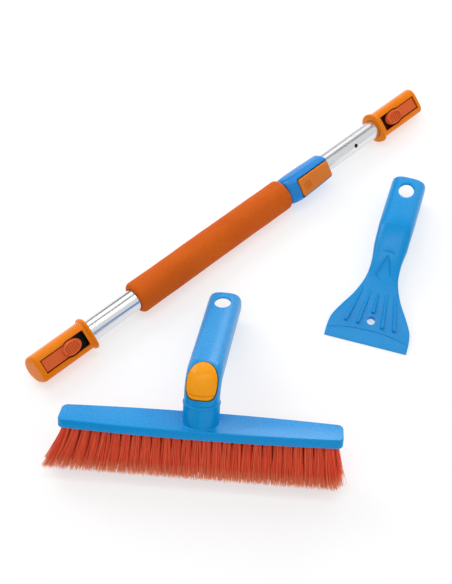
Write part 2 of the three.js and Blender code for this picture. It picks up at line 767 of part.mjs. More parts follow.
// Blade, neck and handle as sections from the edge to the mouth. rise is the height of the section's middle.
const SCRAPER_KEYS = [
  { x: 0, half: 46.2, face: 0.9, back: 0.9, rise: 1.2, power: 9, backPower: 9 },
  { x: 12, half: 46.2, face: 2.2, back: 2, rise: 3.2, power: 9, backPower: 9 },
  { x: 24, half: 44.2, face: 2.6, back: 2.4, rise: 6.2, power: 8, backPower: 8 },
  { x: 38, half: 37, face: 2.8, back: 2.6, rise: 9.6, power: 7, backPower: 7 },
  { x: 56, half: 26.2, face: 3.4, back: 3.2, rise: 14, power: 6, backPower: 6 },
  { x: 76, half: 18.6, face: 5.4, back: 4.8, rise: 19, power: 4.6, backPower: 4.6 },
  { x: NECK_X - 6, half: 17, face: 8.4, back: 8.2, rise: 24.5, power: 3.6, backPower: 3.2 },
  { x: NECK_X + 16, half: 19.2, face: 11.8, back: 12.8, rise: 28.6, power: 3.2, backPower: 2.4 },
];

function scraperHandleFrame(fromMouth) {
  const mouth = new THREE.Vector3(SCRAPER_LENGTH, 0, MOUTH_Z);
  return new THREE.Matrix4()
    .makeRotationY(SLOPE)
    .setPosition(mouth.x + fromMouth * Math.cos(SLOPE), 0, mouth.z - fromMouth * Math.sin(SLOPE));
}

function scraperBody() {
  const blade = easedSections(SCRAPER_KEYS, 8).map((section) => ring(section, at(section.x, section.rise)));
  const handle = [
    [-86, -0.4, -2],
    [-78, -0.1, -0.5],
    [-68, 0, 0],
    [-2.5, 0, 0],
    [-0.6, -0.2, -0.2],
    [0, -0.7, -0.7],
  ].map(([x, wider, higher]) =>
    ring({ ...grown(GRIP, higher), half: GRIP.half + wider }, scraperHandleFrame(x)),
  );
  return loft([...blade, ...handle]);
}

// Height of the blade's top face.
function bladeTop(x) {
  const above = SCRAPER_KEYS.findIndex((key) => key.x >= x);
  const [low, high] = [SCRAPER_KEYS[above - 1], SCRAPER_KEYS[above]];
  return THREE.MathUtils.mapLinear(x, low.x, high.x, low.rise + low.face, high.rise + high.face);
}

// Raised wedge from the neck to just short of the bevel, highest at its blade end.
function fanRib(index) {
  const spread = (index - (FAN_RIBS - 1) / 2) / ((FAN_RIBS - 1) / 2);
  const start = { x: spread === 0 ? 35 : 20, y: spread * RIB.startSpread };
  const end = { x: 62 - 4 * (1 - Math.abs(spread)), y: spread * RIB.endSpread };
  const side = new THREE.Shape();
  side.moveTo(start.x, bladeTop(start.x) - 1.5);
  side.lineTo(end.x, bladeTop(end.x) - 1.5);
  side.lineTo(end.x, bladeTop(end.x) + 0.2);
  side.lineTo(start.x + 3, bladeTop(start.x) + RIB.height);
  side.lineTo(start.x, bladeTop(start.x) + RIB.height - 1);
  const rib = new THREE.ExtrudeGeometry(side, { depth: RIB.width, bevelEnabled: false })
    .rotateX(Math.PI / 2)
    .translate(0, RIB.width / 2, 0);
  const slant = (end.y - start.y) / (end.x - start.x);
  return rib
    .applyMatrix4(new THREE.Matrix4().makeShear(slant, 0, 0, 0, 0, 0))
    .translate(0, start.y - slant * start.x, 0);
}

// Pressed-in teardrop on the neck's face.
function teardrop() {
  const outline = new THREE.Shape();
  outline.moveTo(DROP.tip, 1.6);
  outline.quadraticCurveTo(DROP.tip + 2.5, 0, DROP.tip, -1.6);
  outline.lineTo(DROP.base, -DROP.half);
  outline.quadraticCurveTo(DROP.base - 9, 0, DROP.base, DROP.half);
  return slopingPrism(outline, (x) => bladeTop(x) - DROP.depth, DROP.base - 5, DROP.tip + 1);
}

// Prism over an outline, whose floor follows a height at two places along x.
function slopingPrism(outline, floorAt, low, high) {
  const slope = (floorAt(high) - floorAt(low)) / (high - low);
  return new THREE.ExtrudeGeometry(outline, { depth: 20, bevelEnabled: false, curveSegments: 8 })
    .applyMatrix4(new THREE.Matrix4().makeShear(0, slope, 0, 0, 0, 0))
    .translate(0, 0, floorAt(low) - slope * low);
}

// Ground-down strip along the edge, deepest in the middle of the blade.
function bevelStrip() {
  const outline = new THREE.Shape();
  outline.moveTo(-5, -60);
  outline.lineTo(BEVEL.ends, -60);
  outline.lineTo(BEVEL.ends, -46);
  outline.quadraticCurveTo(2 * BEVEL.middle - BEVEL.ends, 0, BEVEL.ends, 46);
  outline.lineTo(BEVEL.ends, 60);
  outline.lineTo(-5, 60);
  return slopingPrism(outline, (x) => BEVEL.height + BEVEL.slope * (x + 5), -5, 10);
}

function iceScraper() {
  const ribs = Array.from({ length: FAN_RIBS }, (_, i) => fanRib(i));
  return cut(
    join(cut(scraperBody(), bevelStrip()), ...ribs),
    post(BLADE_HOLE.radius, -10, 40, BLADE_HOLE.x),
    teardrop(),
    socketHollow(scraperHandleFrame, 84),
    latchHole(scraperHandleFrame(0)),
  );
}

function scraper() {
  const group = new THREE.Group();
  const lying = new THREE.Group();
  lying.rotation.z = Math.PI / 2;
  lying.add(piece("ice_scraper", iceScraper(), "blue"));
  group.add(lying);
  group.rotation.z = THREE.MathUtils.degToRad(SCRAPER_YAW);
  group.position.set(...SCRAPER_EDGE, 0);
  return standOnGround(group);
}

// ---------- layout ----------

// Lowers or raises a module until its lowest point is at z = 0.
function standOnGround(module) {
  module.updateMatrixWorld(true);
  module.position.z -= new THREE.Box3().setFromObject(module, true).min.z;
  return module;
}

const layout = new THREE.Group();
layout.add(standOnGround(pole()), brush(), scraper());
const middle = new THREE.Box3().setFromObject(layout, true).getCenter(new THREE.Vector3());
layout.position.set(-middle.x, -middle.y, 0);
layout.updateMatrixWorld(true);

export default layout;
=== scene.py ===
"""Looks of the modular snow tool set: a telescopic pole, a swivel brush and an ice scraper on a pale floor.

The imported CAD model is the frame. Each visible CAD node is replaced by a smooth piece that is built here in
its module's own millimetres and then carried to the row frame, in metres with +Z up. The modules' frames
come from the record's joints and mounts.
"""

import json
import math
import random

import bmesh
import bpy
from mathutils import Matrix, Vector, noise


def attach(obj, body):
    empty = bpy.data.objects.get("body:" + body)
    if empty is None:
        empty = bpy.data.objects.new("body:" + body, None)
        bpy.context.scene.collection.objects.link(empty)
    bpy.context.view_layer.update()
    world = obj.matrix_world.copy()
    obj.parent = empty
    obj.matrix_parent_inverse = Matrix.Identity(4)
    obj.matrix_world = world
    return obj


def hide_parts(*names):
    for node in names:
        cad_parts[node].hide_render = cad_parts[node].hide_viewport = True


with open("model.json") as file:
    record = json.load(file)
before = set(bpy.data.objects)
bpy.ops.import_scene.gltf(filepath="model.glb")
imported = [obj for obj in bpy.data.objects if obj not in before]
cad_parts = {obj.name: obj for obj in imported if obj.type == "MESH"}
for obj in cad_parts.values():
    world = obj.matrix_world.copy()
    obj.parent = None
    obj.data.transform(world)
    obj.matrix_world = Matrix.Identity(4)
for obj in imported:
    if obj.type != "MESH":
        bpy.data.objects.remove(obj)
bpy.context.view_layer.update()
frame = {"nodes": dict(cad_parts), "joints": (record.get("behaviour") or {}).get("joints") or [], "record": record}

JOINTS = {joint["name"]: joint for joint in frame["joints"]}
MOUNTS = {mount["name"]: mount for mount in frame["record"]["mounts"]}
MM = 0.001
Z = Vector((0, 0, 1))

# Sizes of the CAD model, in millimetres
SIDES = 96  # facets round a moulded section
POLE_LENGTH = 600
OUTER_TUBE = {"radius": 12.5, "bore": 11.7, "end": 414}
INNER_TUBE = {"radius": 11.3, "bore": 10.5, "start": 192}
PIN_HOLES = {"first": 248, "pitch": 59, "count": 5, "radius": 2.5}
FOAM = {"start": 142, "end": 370, "radius": 19, "bore": 12.8, "rounding": 5}
COLLAR = {"start": 370.3, "end": 435, "near_face": 20.4, "far_face": 17.2}
LOCK_TURN = math.radians(12)  # the lock sits turned about the tube, against the plugs
ROCKER = {"start": 383.5, "end": 433.2, "start_half": 11.2, "end_half": 10, "corner": 4}
POCKET = {"margin": 1.1, "floor": 13.4}  # the collar's pocket, round and under the lever
LEVER_TRIM = 0.3  # the visible lever is slimmer than the CAD's by this, so that the gap round it shows
LOCK_PIN_BORE = {"x": 425, "radius": 3, "top": 15}
PIVOT = {"x": 408, "z": 14.8, "radius": 1.1, "half": 12}
PLUG = {"length": 76, "half": 16.2, "face": 13.5, "back": 16.2, "power": 3.4, "wall": 2.4, "tube": 69}
FLANGE = {"width": 3.5, "lip": 2.7}
TIP = {"x": 3, "lean": 0.17, "depth": 3.4, "inset": 3.2}
ARM = {"start": 12, "half": 6.9, "top": 11.6, "thick": 2.4, "gap": 1.3}
PAD = {"x": 48.5, "half_length": 11.5, "half_width": 7.8, "top": 15.2, "ribs": 6}
WINDOW = {"end": 68, "half": 9.4, "corner": 0.8}
CORE = {"top": 4.6, "well": (14, 52, -8, 8, 1.5), "well_floor": -8}  # the well lies under the latch arm
BLOCK = {"half": 142.5, "middle": 21, "ends": 16.5, "thick": 10, "corner": 8}
NECK = {"radius": 18.5, "height": 25.5, "recess_floor": 8, "recess": (7, 15)}
SCREW = {"pilot": 2.8, "bore": 3.3, "seat": 31.5, "head_bore": 7.5}
ROWS = [-11.4, -3.8, 3.8, 11.4]
TUFTS = {"count": 27, "reach": 130.8, "base": 3, "length": 51, "tip": 5.8}
FLARE = {"left": 19.7, "right": 7.7}  # how far the end tufts lean out
STRIP_END = TUFTS["reach"] + 5.3  # half length of the strip that a row of tufts is set in
BEND = {"radius": 20, "turn": math.radians(87), "start": 25.8}
HANDLE_REACH = 171
HANDLE = {"half": 18.4, "face": 15.8, "back": 18.2, "power": 3.1}
GRIP = {"half": 20.1, "face": 16.1, "back": 18.5, "power": 3.1}
SOCKET = {"half": 16.7, "face": 14, "back": 16.7, "power": 3.4, "depth": 74}
LATCH_HOLE = {"from_mouth": 24, "half_length": 12, "half_width": 8.8}
BUTTON = {"half_width": 15, "half_length": 19.6, "blunt": 3.2, "gap": 0.8, "proud": 0.9, "thick": 3}
BUTTON_STEM = {"radius": 3, "bore": 3.4}
CREASE = {"bottom": 36.8, "top": 38.0, "depth": 0.7}  # groove across the button
BUTTON_TURN = BEND["turn"] * 0.48  # where round the bend the button sits
HEAD_TURN = math.radians(3)  # the block's turn about the neck, against the handle
SWIVEL_Z = 25.6
SCRAPER_LENGTH = 219
SLOPE = math.radians(10)
MOUTH_Z = 18.5
RIM_Z = -17.2  # the mouth mounts sit on the back of the rim
NECK_X = 101
BLADE_HOLE = {"x": 27, "radius": 4.8}
FAN_RIBS = 5
RIB = {"width": 3.4, "height": 4.4, "start_spread": 27.5, "end_spread": 19}
DROP = {"tip": 100, "base": 78, "half": 9.6, "depth": 1.3, "extra": 0.5}  # extra depth, for its shading
FOLD = {"from_neck": 6.5, "bow": 2.2, "half_width": 9.5, "half_length": 2.3, "height": 1.6, "sunk": 0.5}
BEVEL = {"ends": 9.5, "middle": 16, "slope": 0.2056, "height": 1.4}
SEAM = 0.1  # height of the parting line on the collar and the brush handle
SCRAPER_SEAM = 0.08
STRAIGHT = (HANDLE_REACH - BEND["radius"] * (1 - math.cos(BEND["turn"]))) / math.sin(BEND["turn"])


# ---------- module frames ----------


def basis(origin, x, y, z):
    """Matrix from a module's millimetres to the row's metres."""
    matrix = Matrix((x * MM, y * MM, z * MM)).transposed().to_4x4()
    matrix.translation = origin
    return matrix


def lock_frame():
    """x along the pole from the near plug's tip, z out through the lock's lever."""
    hinge = JOINTS["rocker_hinge"]
    along = Vector(JOINTS["inner_tube_slide"]["axis"]).normalized()
    across = -Vector(hinge["axis"]).normalized()
    up = along.cross(across)
    start = Vector(hinge["pos_m"]) - (along * PIVOT["x"] + up * PIVOT["z"]) * MM
    return basis(start, along, across, up)


def brush_frame():
    """z up the neck's axis from the top of the block, y towards the handle's mouth."""
    swivel = JOINTS["head_swivel"]
    neck = Vector(swivel["axis"]).normalized()
    forward = (Vector(JOINTS["button_press"]["axis"]) + neck * math.sin(BUTTON_TURN)).normalized()
    return basis(Vector(swivel["pos_m"]) - neck * SWIVEL_Z * MM, forward.cross(neck), forward, neck)


def scraper_frame():
    """x from the blade's edge towards the handle's mouth, lying flat, z up."""
    mouth = MOUNTS["scraper_socket_mouth"]
    along = Vector((mouth["axis"][0], mouth["axis"][1], 0)).normalized()
    rim_x = SCRAPER_LENGTH + RIM_Z * math.sin(SLOPE)
    rim_z = MOUTH_Z + RIM_Z * math.cos(SLOPE)
    return basis(Vector(mouth["pos_m"]) - (along * rim_x + Z * rim_z) * MM, along, Z.cross(along), Z)


LOCK = lock_frame()
POLE = LOCK @ Matrix.Rotation(-LOCK_TURN, 4, "X")  # z out through the latch pads
FAR = POLE @ Matrix.Translation((POLE_LENGTH, 0, 0)) @ Matrix.Rotation(math.pi, 4, "Z")
BRUSH = brush_frame()
HEAD = BRUSH @ Matrix.Rotation(HEAD_TURN, 4, "Z")
SCRAPER = scraper_frame()


# ---------- mesh tools ----------

UPRIGHT = Matrix.Rotation(-math.pi / 2, 4, "Y")  # turns x up
CROSSWAYS = Matrix.Rotation(math.pi / 2, 4, "Z")  # turns x to y


def solid(points, faces):
    """Mesh object with its faces pointing out. place gives it its name."""
    data = bpy.data.meshes.new("tool")
    data.from_pydata([tuple(p) for p in points], [], faces)
    made = bmesh.new()
    made.from_mesh(data)
    bmesh.ops.recalc_face_normals(made, faces=made.faces)
    made.to_mesh(data)
    made.free()
    obj = bpy.data.objects.new("tool", data)
    bpy.context.scene.collection.objects.link(obj)
    return obj


def loft(rings, closed=False):
    """Solid through a row of rings. A closed row joins its last ring to its first and has no ends."""
    count = len(rings[0])
    points = [p for ring_points in rings for p in ring_points]
    faces = []
    for row in range(len(rings) if closed else len(rings) - 1):
        here, there = row * count, (row + 1) % len(rings) * count
        for i in range(count):
            j = (i + 1) % count
            faces.append((here + i, here + j, there + j, there + i))
    if not closed:
        faces.append(tuple(reversed(range(count))))
        faces.append(tuple(range((len(rings) - 1) * count, len(rings) * count)))
    return solid(points, faces)


def ring(section, place, power=None, back_power=2.0, grow=0.0, seam=0.0):
    """One ring of a moulded section, y across and z towards the latch face; seam raises its parting line."""
    power = power or section["power"]
    points = []
    for i in range(SIDES):
        angle = 2 * math.pi * i / SIDES
        front = i <= SIDES / 2
        exponent = 2 / (power if front else back_power)
        c, s = math.cos(angle), abs(math.sin(angle))
        line = seam if i % (SIDES // 2) == 0 else 0
        across = math.copysign(abs(c) ** exponent, c) * (section["half"] + grow + line)
        height = s**exponent * (section["face"] + grow if front else -section["back"] - grow)
        points.append(place @ Vector((0, across, height)))
    return points


def turned(profile, segments=96, centre=False):
    """Solid of revolution about x. The profile lists (x, radius); it closes on itself, or on the axis."""
    rings = []
    for x, radius in profile:
        turns = [2 * math.pi * i / segments for i in range(segments)]
        rings.append([Vector((x, radius * math.cos(a), radius * math.sin(a))) for a in turns])
    return loft(rings, closed=not centre)


def rod(radius, start, end, segments=64):
    return turned([(start, radius), (end, radius)], segments=segments, centre=True)


def post(radius, start, end, x=0.0, segments=64):
    """Upright rod, along z."""
    return moved(rod(radius, start, end, segments), at(x) @ UPRIGHT)


def at(x, z=0.0):
    return Matrix.Translation((x, 0, z))


def moved(obj, matrix):
    obj.data.transform(matrix)
    return obj


def levels_of(*heights):
    """Heights as functions of x, whether they come as numbers or as functions."""
    return [h if callable(h) else lambda x, h=h: h for h in heights]


def prism(outline, bottom, top):
    """Upright solid over an outline of (x, y) points. Bottom and top are heights or functions of x."""
    return loft([[Vector((x, y, level(x))) for x, y in outline] for level in levels_of(bottom, top)])


def rectangle(x0, x1, y0, y1, corner=0.0):
    """Outline of a box seen from above, with rounded corners."""
    points = []
    corners = ((x1, y1, 0), (x0, y1, 90), (x0, y0, 180), (x1, y0, 270))
    for x, y, turn in corners:
        cx = x - math.copysign(corner, x - (x0 + x1) / 2)
        cy = y - math.copysign(corner, y - (y0 + y1) / 2)
        for step in range(9 if corner else 1):
            a = math.radians(turn + 90 * step / 8)
            points.append((cx + corner * math.cos(a), cy + corner * math.sin(a)))
    return points


def ellipse(x, half_length, half_width, count=72, blunt=2.0):
    """Oval outline. A bluntness above 2 squares its low end."""
    points = []
    for i in range(count):
        a = 2 * math.pi * i / count
        c, s = math.cos(a), math.sin(a)
        exponent = 2 / (blunt if c < 0 else 2.0)
        across = half_width * math.copysign(abs(s) ** exponent, s)
        points.append((x + half_length * math.copysign(abs(c) ** exponent, c), across))
    return points


def bezier(start, control, end, steps):
    """Points of a quadratic curve, up to but without its end."""
    points = []
    for i in range(steps):
        t = i / steps
        first, second, third = (1 - t) ** 2, 2 * t * (1 - t), t * t
        points.append(tuple(first * a + second * b + third * c for a, b, c in zip(start, control, end)))
    return points


def chain(start, *legs):
    """Outline of curves that run on from each other; a leg is (control, end, steps)."""
    outline = []
    for control, end, steps in legs:
        outline += bezier(start, control, end, steps)
        start = end
    return outline


def inset(outline, by):
    """Outline moved inwards by a distance, from its neighbours' direction."""
    count = len(outline)
    points = []
    for i, (x, y) in enumerate(outline):
        before, after = outline[i - 1], outline[(i + 1) % count]
        dx, dy = after[0] - before[0], after[1] - before[1]
        size = math.hypot(dx, dy) or 1
        points.append((x - by * dy / size, y + by * dx / size))
    return points


def rounded_prism(outline, bottom, top, radius, steps=5, both=False):
    """Upright solid whose top edge, and bottom edge if both, is rounded. The outline runs anticlockwise."""
    low, high = levels_of(bottom, top)
    levels = []
    if both:
        for i in range(steps):
            a = math.pi / 2 * i / steps
            levels.append((low, radius * (1 - math.sin(a)), radius * (1 - math.cos(a))))
        levels.append((low, 0, radius))
    else:
        levels.append((low, 0, 0))
    levels.append((high, 0, -radius))
    for i in range(1, steps + 1):
        a = math.pi / 2 * i / steps
        levels.append((high, radius * (1 - math.cos(a)), -radius * (1 - math.sin(a))))
    rings = []
    for height, by, lift in levels:
        rings.append([Vector((x, y, height(x) + lift)) for x, y in inset(outline, by)])
    return loft(rings)


def settle(obj):
    """Turns an object's modifiers into its mesh."""
    bpy.context.view_layer.update()
    graph = bpy.context.evaluated_depsgraph_get()
    made = bpy.data.meshes.new_from_object(obj.evaluated_get(graph))
    old = obj.data
    obj.modifiers.clear()
    obj.data = made
    bpy.data.meshes.remove(old)
    return obj


def boolean(obj, operation, tools):
    for tool in tools:
        modifier = obj.modifiers.new(operation, "BOOLEAN")
        modifier.operation = operation
        modifier.solver = "EXACT"
        modifier.object = tool
    settle(obj)
    for tool in tools:
        bpy.data.meshes.remove(tool.data)
    return obj


def cut(obj, *tools):
    return boolean(obj, "DIFFERENCE", tools)


def join(obj, *tools):
    return boolean(obj, "UNION", tools)


def common(obj, *tools):
    return boolean(obj, "INTERSECT", tools)


def tidy(obj):
    """Merges the slivers that booleans leave."""
    made = bmesh.new()
    made.from_mesh(obj.data)
    bmesh.ops.remove_doubles(made, verts=made.verts, dist=0.01)
    bmesh.ops.dissolve_degenerate(made, dist=0.005, edges=made.edges)
    made.to_mesh(obj.data)
    made.free()
    return obj


def shade(obj, angle=32):
    for polygon in obj.data.polygons:
        polygon.use_smooth = True
    obj.data.set_sharp_from_angle(angle=math.radians(angle))
    return obj


def place(obj, name, matrix, body, nodes, slot, material, angle=32):
    """Carries a finished piece to the row frame, on its body and with its finish."""
    tidy(obj)
    moved(obj, matrix)
    shade(obj, angle)
    obj.name = name
    obj.data.name = name
    obj.data.materials.clear()
    obj.data.materials.append(material)
    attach(obj, body)
    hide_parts(*nodes)
    return obj


# ---------- materials ----------


def linear(red, green, blue):
    """sRGB values from 0 to 255 as a linear colour."""
    values = [c / 255 for c in (red, green, blue)]
    return [c / 12.92 if c <= 0.04045 else ((c + 0.055) / 1.055) ** 2.4 for c in values] + [1.0]


class Tree:
    """Small builder of a node tree."""

    def __init__(self, tree):
        self.tree = tree

    def add(self, kind, **inputs):
        node = self.tree.nodes.new(kind)
        for name, value in inputs.items():
            self.set(node, name.replace("_", " "), value)
        return node

    def set(self, node, name, value):
        self.feed(node.inputs[name], value)

    def feed(self, socket, value):
        """Links a socket to another, or sets it to a constant."""
        if isinstance(value, bpy.types.NodeSocket):
            self.tree.links.new(value, socket)
        else:
            socket.default_value = value

    def remap(self, value, low, high, start=0.3, end=0.7):
        node = self.add("ShaderNodeMapRange")
        for name, number in (("From Min", start), ("From Max", end), ("To Min", low), ("To Max", high)):
            self.set(node, name, number)
        self.set(node, "Value", value)
        return node.outputs["Result"]


class Nodes(Tree):
    """Small builder of a material's nodes."""

    def __init__(self, name):
        self.material = bpy.data.materials.new(name)
        self.material.use_nodes = True
        super().__init__(self.material.node_tree)
        self.shader = next(n for n in self.tree.nodes if n.type == "BSDF_PRINCIPLED")
        self.where = self.add("ShaderNodeTexCoord").outputs["Object"]

    def noise(self, scale, detail=2.0, roughness=0.5, vector=None):
        node = self.add("ShaderNodeTexNoise", Scale=scale, Detail=detail, Roughness=roughness)
        self.set(node, "Vector", vector or self.where)
        return node.outputs["Fac"]

    def blend(self, factor, first, second):
        node = self.add("ShaderNodeMix")
        node.data_type = "RGBA"
        colours = [s for s in node.inputs if s.type == "RGBA"]
        self.set(node, "Factor", factor)
        for socket, value in zip(colours, (first, second)):
            self.feed(socket, value)
        return next(s for s in node.outputs if s.type == "RGBA")

    def bump(self, height, distance, strength=1.0, normal=None):
        node = self.add("ShaderNodeBump", Strength=strength, Distance=distance, Height=height)
        if normal:
            self.set(node, "Normal", normal)
        return node.outputs["Normal"]

    def edges(self, radius):
        """Normal that rounds sharp edges over a small radius."""
        node = self.add("ShaderNodeBevel", Radius=radius)
        node.samples = 4
        return node.outputs["Normal"]

    def finish(self, **inputs):
        for name, value in inputs.items():
            self.set(self.shader, name.replace("_", " "), value)
        return self.material


def plastic(name, colour, deep, rough=(0.28, 0.4), gloss=0.2):
    """Moulded plastic: a slow drift of colour, a faint texture from the mould and fine scuffs."""
    n = Nodes(name)
    drift = n.remap(n.noise(14, 2), 0, 0.5)
    cloud = n.remap(n.noise(160, 3, 0.6), 0, 0.35, 0.45, 0.8)
    tint = n.blend(cloud, n.blend(drift, linear(*colour), linear(*deep)), linear(*deep))
    scuffs = n.remap(n.noise(420, 4, 0.7), *rough)
    fine = n.bump(n.noise(1800, 2, 0.6), 0.00001, 0.25, n.edges(0.0004))
    waves = n.bump(n.noise(45, 1), 0.00012, 0.08, fine)
    return n.finish(Base_Color=tint, Roughness=scuffs, Normal=waves, IOR=1.49, Specular_IOR_Level=gloss)


def foam_rubber():
    """Closed-cell foam: small pores with painted shade in their pits, a soft skin and a faint sheen."""
    n = Nodes("foam")
    cells = n.add("ShaderNodeTexVoronoi", Scale=900.0, Vector=n.where)
    pore_pits_and_shade = n.remap(cells.outputs["Distance"], 0, 1, 0.05, 0.45)
    patches = n.remap(n.noise(30, 2, 0.5), 0, 0.6, 0.35, 0.7)
    body = n.blend(patches, linear(208, 96, 16), linear(198, 84, 16))
    # painted shade: the pores' pits are coloured darker
    tint = n.blend(pore_pits_and_shade, linear(184, 68, 14), body)
    fine = n.bump(pore_pits_and_shade, 0.00012, 0.5)
    normal = n.bump(n.noise(300, 3, 0.6), 0.00025, 0.5, fine)
    n.finish(Base_Color=tint, Roughness=n.remap(pore_pits_and_shade, 0.92, 0.74, 0, 1), Normal=normal)
    n.finish(Sheen_Weight=0.04, Sheen_Roughness=0.5, Sheen_Tint=linear(240, 150, 80))
    return n.finish(Specular_IOR_Level=0.15)


def drawn_metal(name, colour, rough, heading):
    """Drawn tube: fine lines along its length, which lies at a heading in the ground plane."""
    n = Nodes(name)
    turn = n.add("ShaderNodeMapping", Vector=n.where)
    turn.vector_type = "TEXTURE"
    turn.inputs["Rotation"].default_value = (0, 0, heading)
    turn.inputs["Scale"].default_value = (0.12, 0.0012, 0.0012)
    lines = n.noise(1.0, 3, 0.65, turn.outputs["Vector"])
    marks = n.noise(220, 3, 0.7)
    tint = n.blend(n.remap(lines, 0, 0.6), linear(*colour), linear(*(c - 10 for c in colour)))
    normal = n.bump(lines, 0.000005, 0.12)
    return n.finish(Base_Color=tint, Roughness=n.remap(marks, *rough), Normal=normal, Metallic=1.0)


def bristle_fibre():
    """Nylon filament, paler and worn towards its tip; each one has its own tone."""
    n = Nodes("bristles")
    along = n.add("ShaderNodeAttribute")
    along.attribute_name = "along"
    tone = n.add("ShaderNodeAttribute")
    tone.attribute_name = "tone"
    body = n.blend(tone.outputs["Fac"], linear(236, 72, 42), linear(250, 108, 66))
    worn = n.remap(along.outputs["Fac"], 0, 1, 0.7, 0.98)
    tint = n.blend(worn, body, linear(242, 146, 104))
    n.finish(Base_Color=tint, Roughness=n.remap(n.noise(900, 2), 0.42, 0.6))
    return n.finish(Specular_IOR_Level=0.35, Subsurface_Weight=0.15, Subsurface_Scale=0.002)


HEADING = math.atan2(POLE[1][0], POLE[0][0])
BLUE = plastic("moulded_blue", (2, 144, 213), (2, 138, 208), rough=(0.26, 0.3), gloss=0.22)
COLLAR_BLUE = plastic("collar_blue", (8, 134, 212), (4, 118, 198), rough=(0.2, 0.3), gloss=0.35)
ORANGE = plastic("connector_orange", (236, 128, 4), (226, 112, 6), rough=(0.22, 0.32), gloss=0.14)
RED_ORANGE = plastic("latch_red_orange", (224, 98, 36), (210, 86, 32), rough=(0.32, 0.46), gloss=0.3)
LEVER = plastic("lever_orange", (226, 126, 32), (212, 110, 32), rough=(0.34, 0.48), gloss=0.3)
GOLDEN = plastic("button_golden", (243, 158, 10), (236, 146, 8), rough=(0.22, 0.32))
BLACK = plastic("core_black", (22, 22, 25), (14, 14, 16), rough=(0.5, 0.65), gloss=0.2)
# The far core's dark red is painted light: shade and orange light thrown from the shell, on the same core as the
# near one
PAINTED_BOUNCE_CORE = plastic("core_maroon", (84, 22, 18), (60, 14, 12), rough=(0.5, 0.65), gloss=0.2)
TUBE = drawn_metal("tube_metal", (232, 233, 235), (0.22, 0.25), HEADING)
STEEL = drawn_metal("steel", (190, 191, 194), (0.25, 0.4), 0.0)
FOAM_SKIN = foam_rubber()
FIBRE = bristle_fibre()


# ---------- plug connectors ----------


def leaning(x):
    """Frame of a ring on the leaning tip."""
    shear = Matrix.Identity(4)
    shear[0][2] = TIP["lean"]
    return at(x) @ shear


def plug_ring(x, grow, place_at=at):
    return ring(PLUG, place_at(x), grow=grow)


def arm_tools(grow, bottom, top):
    """The latch arm's outline, a slim arm and an oval pad, as two upright solids."""
    slim = rectangle(ARM["start"] - grow, PAD["x"], -ARM["half"] - grow, ARM["half"] + grow)
    half_length, half_width = PAD["half_length"] + 1.2 + grow, PAD["half_width"] + 0.7 + grow
    return prism(slim, bottom, top), prism(ellipse(PAD["x"], half_length, half_width), bottom, top)


def connector_shell(tube_radius):
    rings = []
    for i in range(9):
        a = math.pi / 2 * i / 8
        x = TIP["x"] + TIP["depth"] * (1 - math.cos(a))
        rings.append(plug_ring(x, -TIP["inset"] * (1 - math.sin(a)), leaning))
    flange = PLUG["length"] - FLANGE["width"]
    middle = PLUG["length"] - FLANGE["width"] / 2
    rings += [plug_ring(x, 0) for x in (12, 30, 50, flange - 3.2)]
    for i in range(1, 6):  # hollow curve up to the flange's rim
        a = math.pi / 2 * i / 5
        rings.append(plug_ring(flange - 3.2 + 3.0 * math.sin(a), (FLANGE["lip"] - 1.2) * (1 - math.cos(a))))
    for i in range(7):
        a = math.pi * i / 6
        x = middle - math.cos(a) * FLANGE["width"] / 2
        rings.append(plug_ring(x, FLANGE["lip"] - 0.9 + 0.9 * math.sin(a)))
    body = loft(rings)
    hollow = loft([plug_ring(x, -PLUG["wall"] - by) for x, by in ((8, 1), (10, 0), (PLUG["tube"] - 0.3, 0))])
    opening = rectangle(PAD["x"], WINDOW["end"], -WINDOW["half"], WINDOW["half"], WINDOW["corner"])
    mouth = prism(opening, 6, 30)
    bore = rod(tube_radius + 0.3, PLUG["tube"] - 1, PLUG["length"] + 1)
    return cut(body, hollow, join(*arm_tools(ARM["gap"], 6, 30), mouth), bore)


def connector_core():
    inner = -PLUG["wall"] - 0.3
    filling = loft([plug_ring(x, inner - by) for x, by in ((8.3, 1), (10.3, 0), (PLUG["tube"] - 0.6, 0))])
    above = prism(rectangle(0, PLUG["length"], -30, 30), CORE["top"], 30)
    well = prism(rectangle(*CORE["well"]), CORE["well_floor"], 30)
    return cut(filling, above, well)


def latch_arm():
    """Springy arm with a domed oval pad, whose thumb grooves follow the oval."""
    slim, rim = arm_tools(0, ARM["top"] - ARM["thick"], ARM["top"])
    pad_outline = ellipse(PAD["x"], PAD["half_length"], PAD["half_width"])
    pad = rounded_prism(pad_outline, ARM["top"] - 1, PAD["top"], 2.2, steps=7)
    arm = join(slim, rim, pad)
    pitch = 1.5 * PAD["half_length"] / PAD["ribs"]
    dish = ellipse(PAD["x"] + 1.3, PAD["half_length"] - 2, PAD["half_width"] - 1.5)
    grooves = [prism(dish, PAD["top"] - 0.45, PAD["top"] + 1)]
    for i in range(PAD["ribs"]):
        offset = (i - (PAD["ribs"] - 1) / 2) * pitch
        half = 5.9 * math.sqrt(1 - (offset / (PAD["half_length"] - 1)) ** 2)
        x = PAD["x"] + offset
        groove = prism(rectangle(x - 0.62, x + 0.62, -half, half, 0.6), PAD["top"] - 1.5, PAD["top"] + 1)
        grooves.append(groove)
    return cut(arm, *grooves)


def connectors():
    sides = (
        ("near", POLE, "pole", "near_latch", OUTER_TUBE["radius"], BLACK, "core_black"),
        # the far core's colour is painted orange bounce light and shade
        ("far", FAR, "inner_pole", "far_latch", INNER_TUBE["radius"], PAINTED_BOUNCE_CORE, "core_maroon"),
    )
    for side, matrix, body, latch, radius, core, core_slot in sides:
        shell = [f"{side}_connector_shell"]
        place(connector_shell(radius), f"{side}_plug_shell", matrix, body, shell, "connector_orange", ORANGE)
        arm = [f"{side}_latch_arm"]
        place(latch_arm(), f"{side}_latch", matrix, latch, arm, "latch_red_orange", RED_ORANGE)
        inside = [f"{side}_connector_core"]
        place(connector_core(), f"{side}_plug_core", matrix, body, inside, core_slot, core)


# ---------- pole ----------


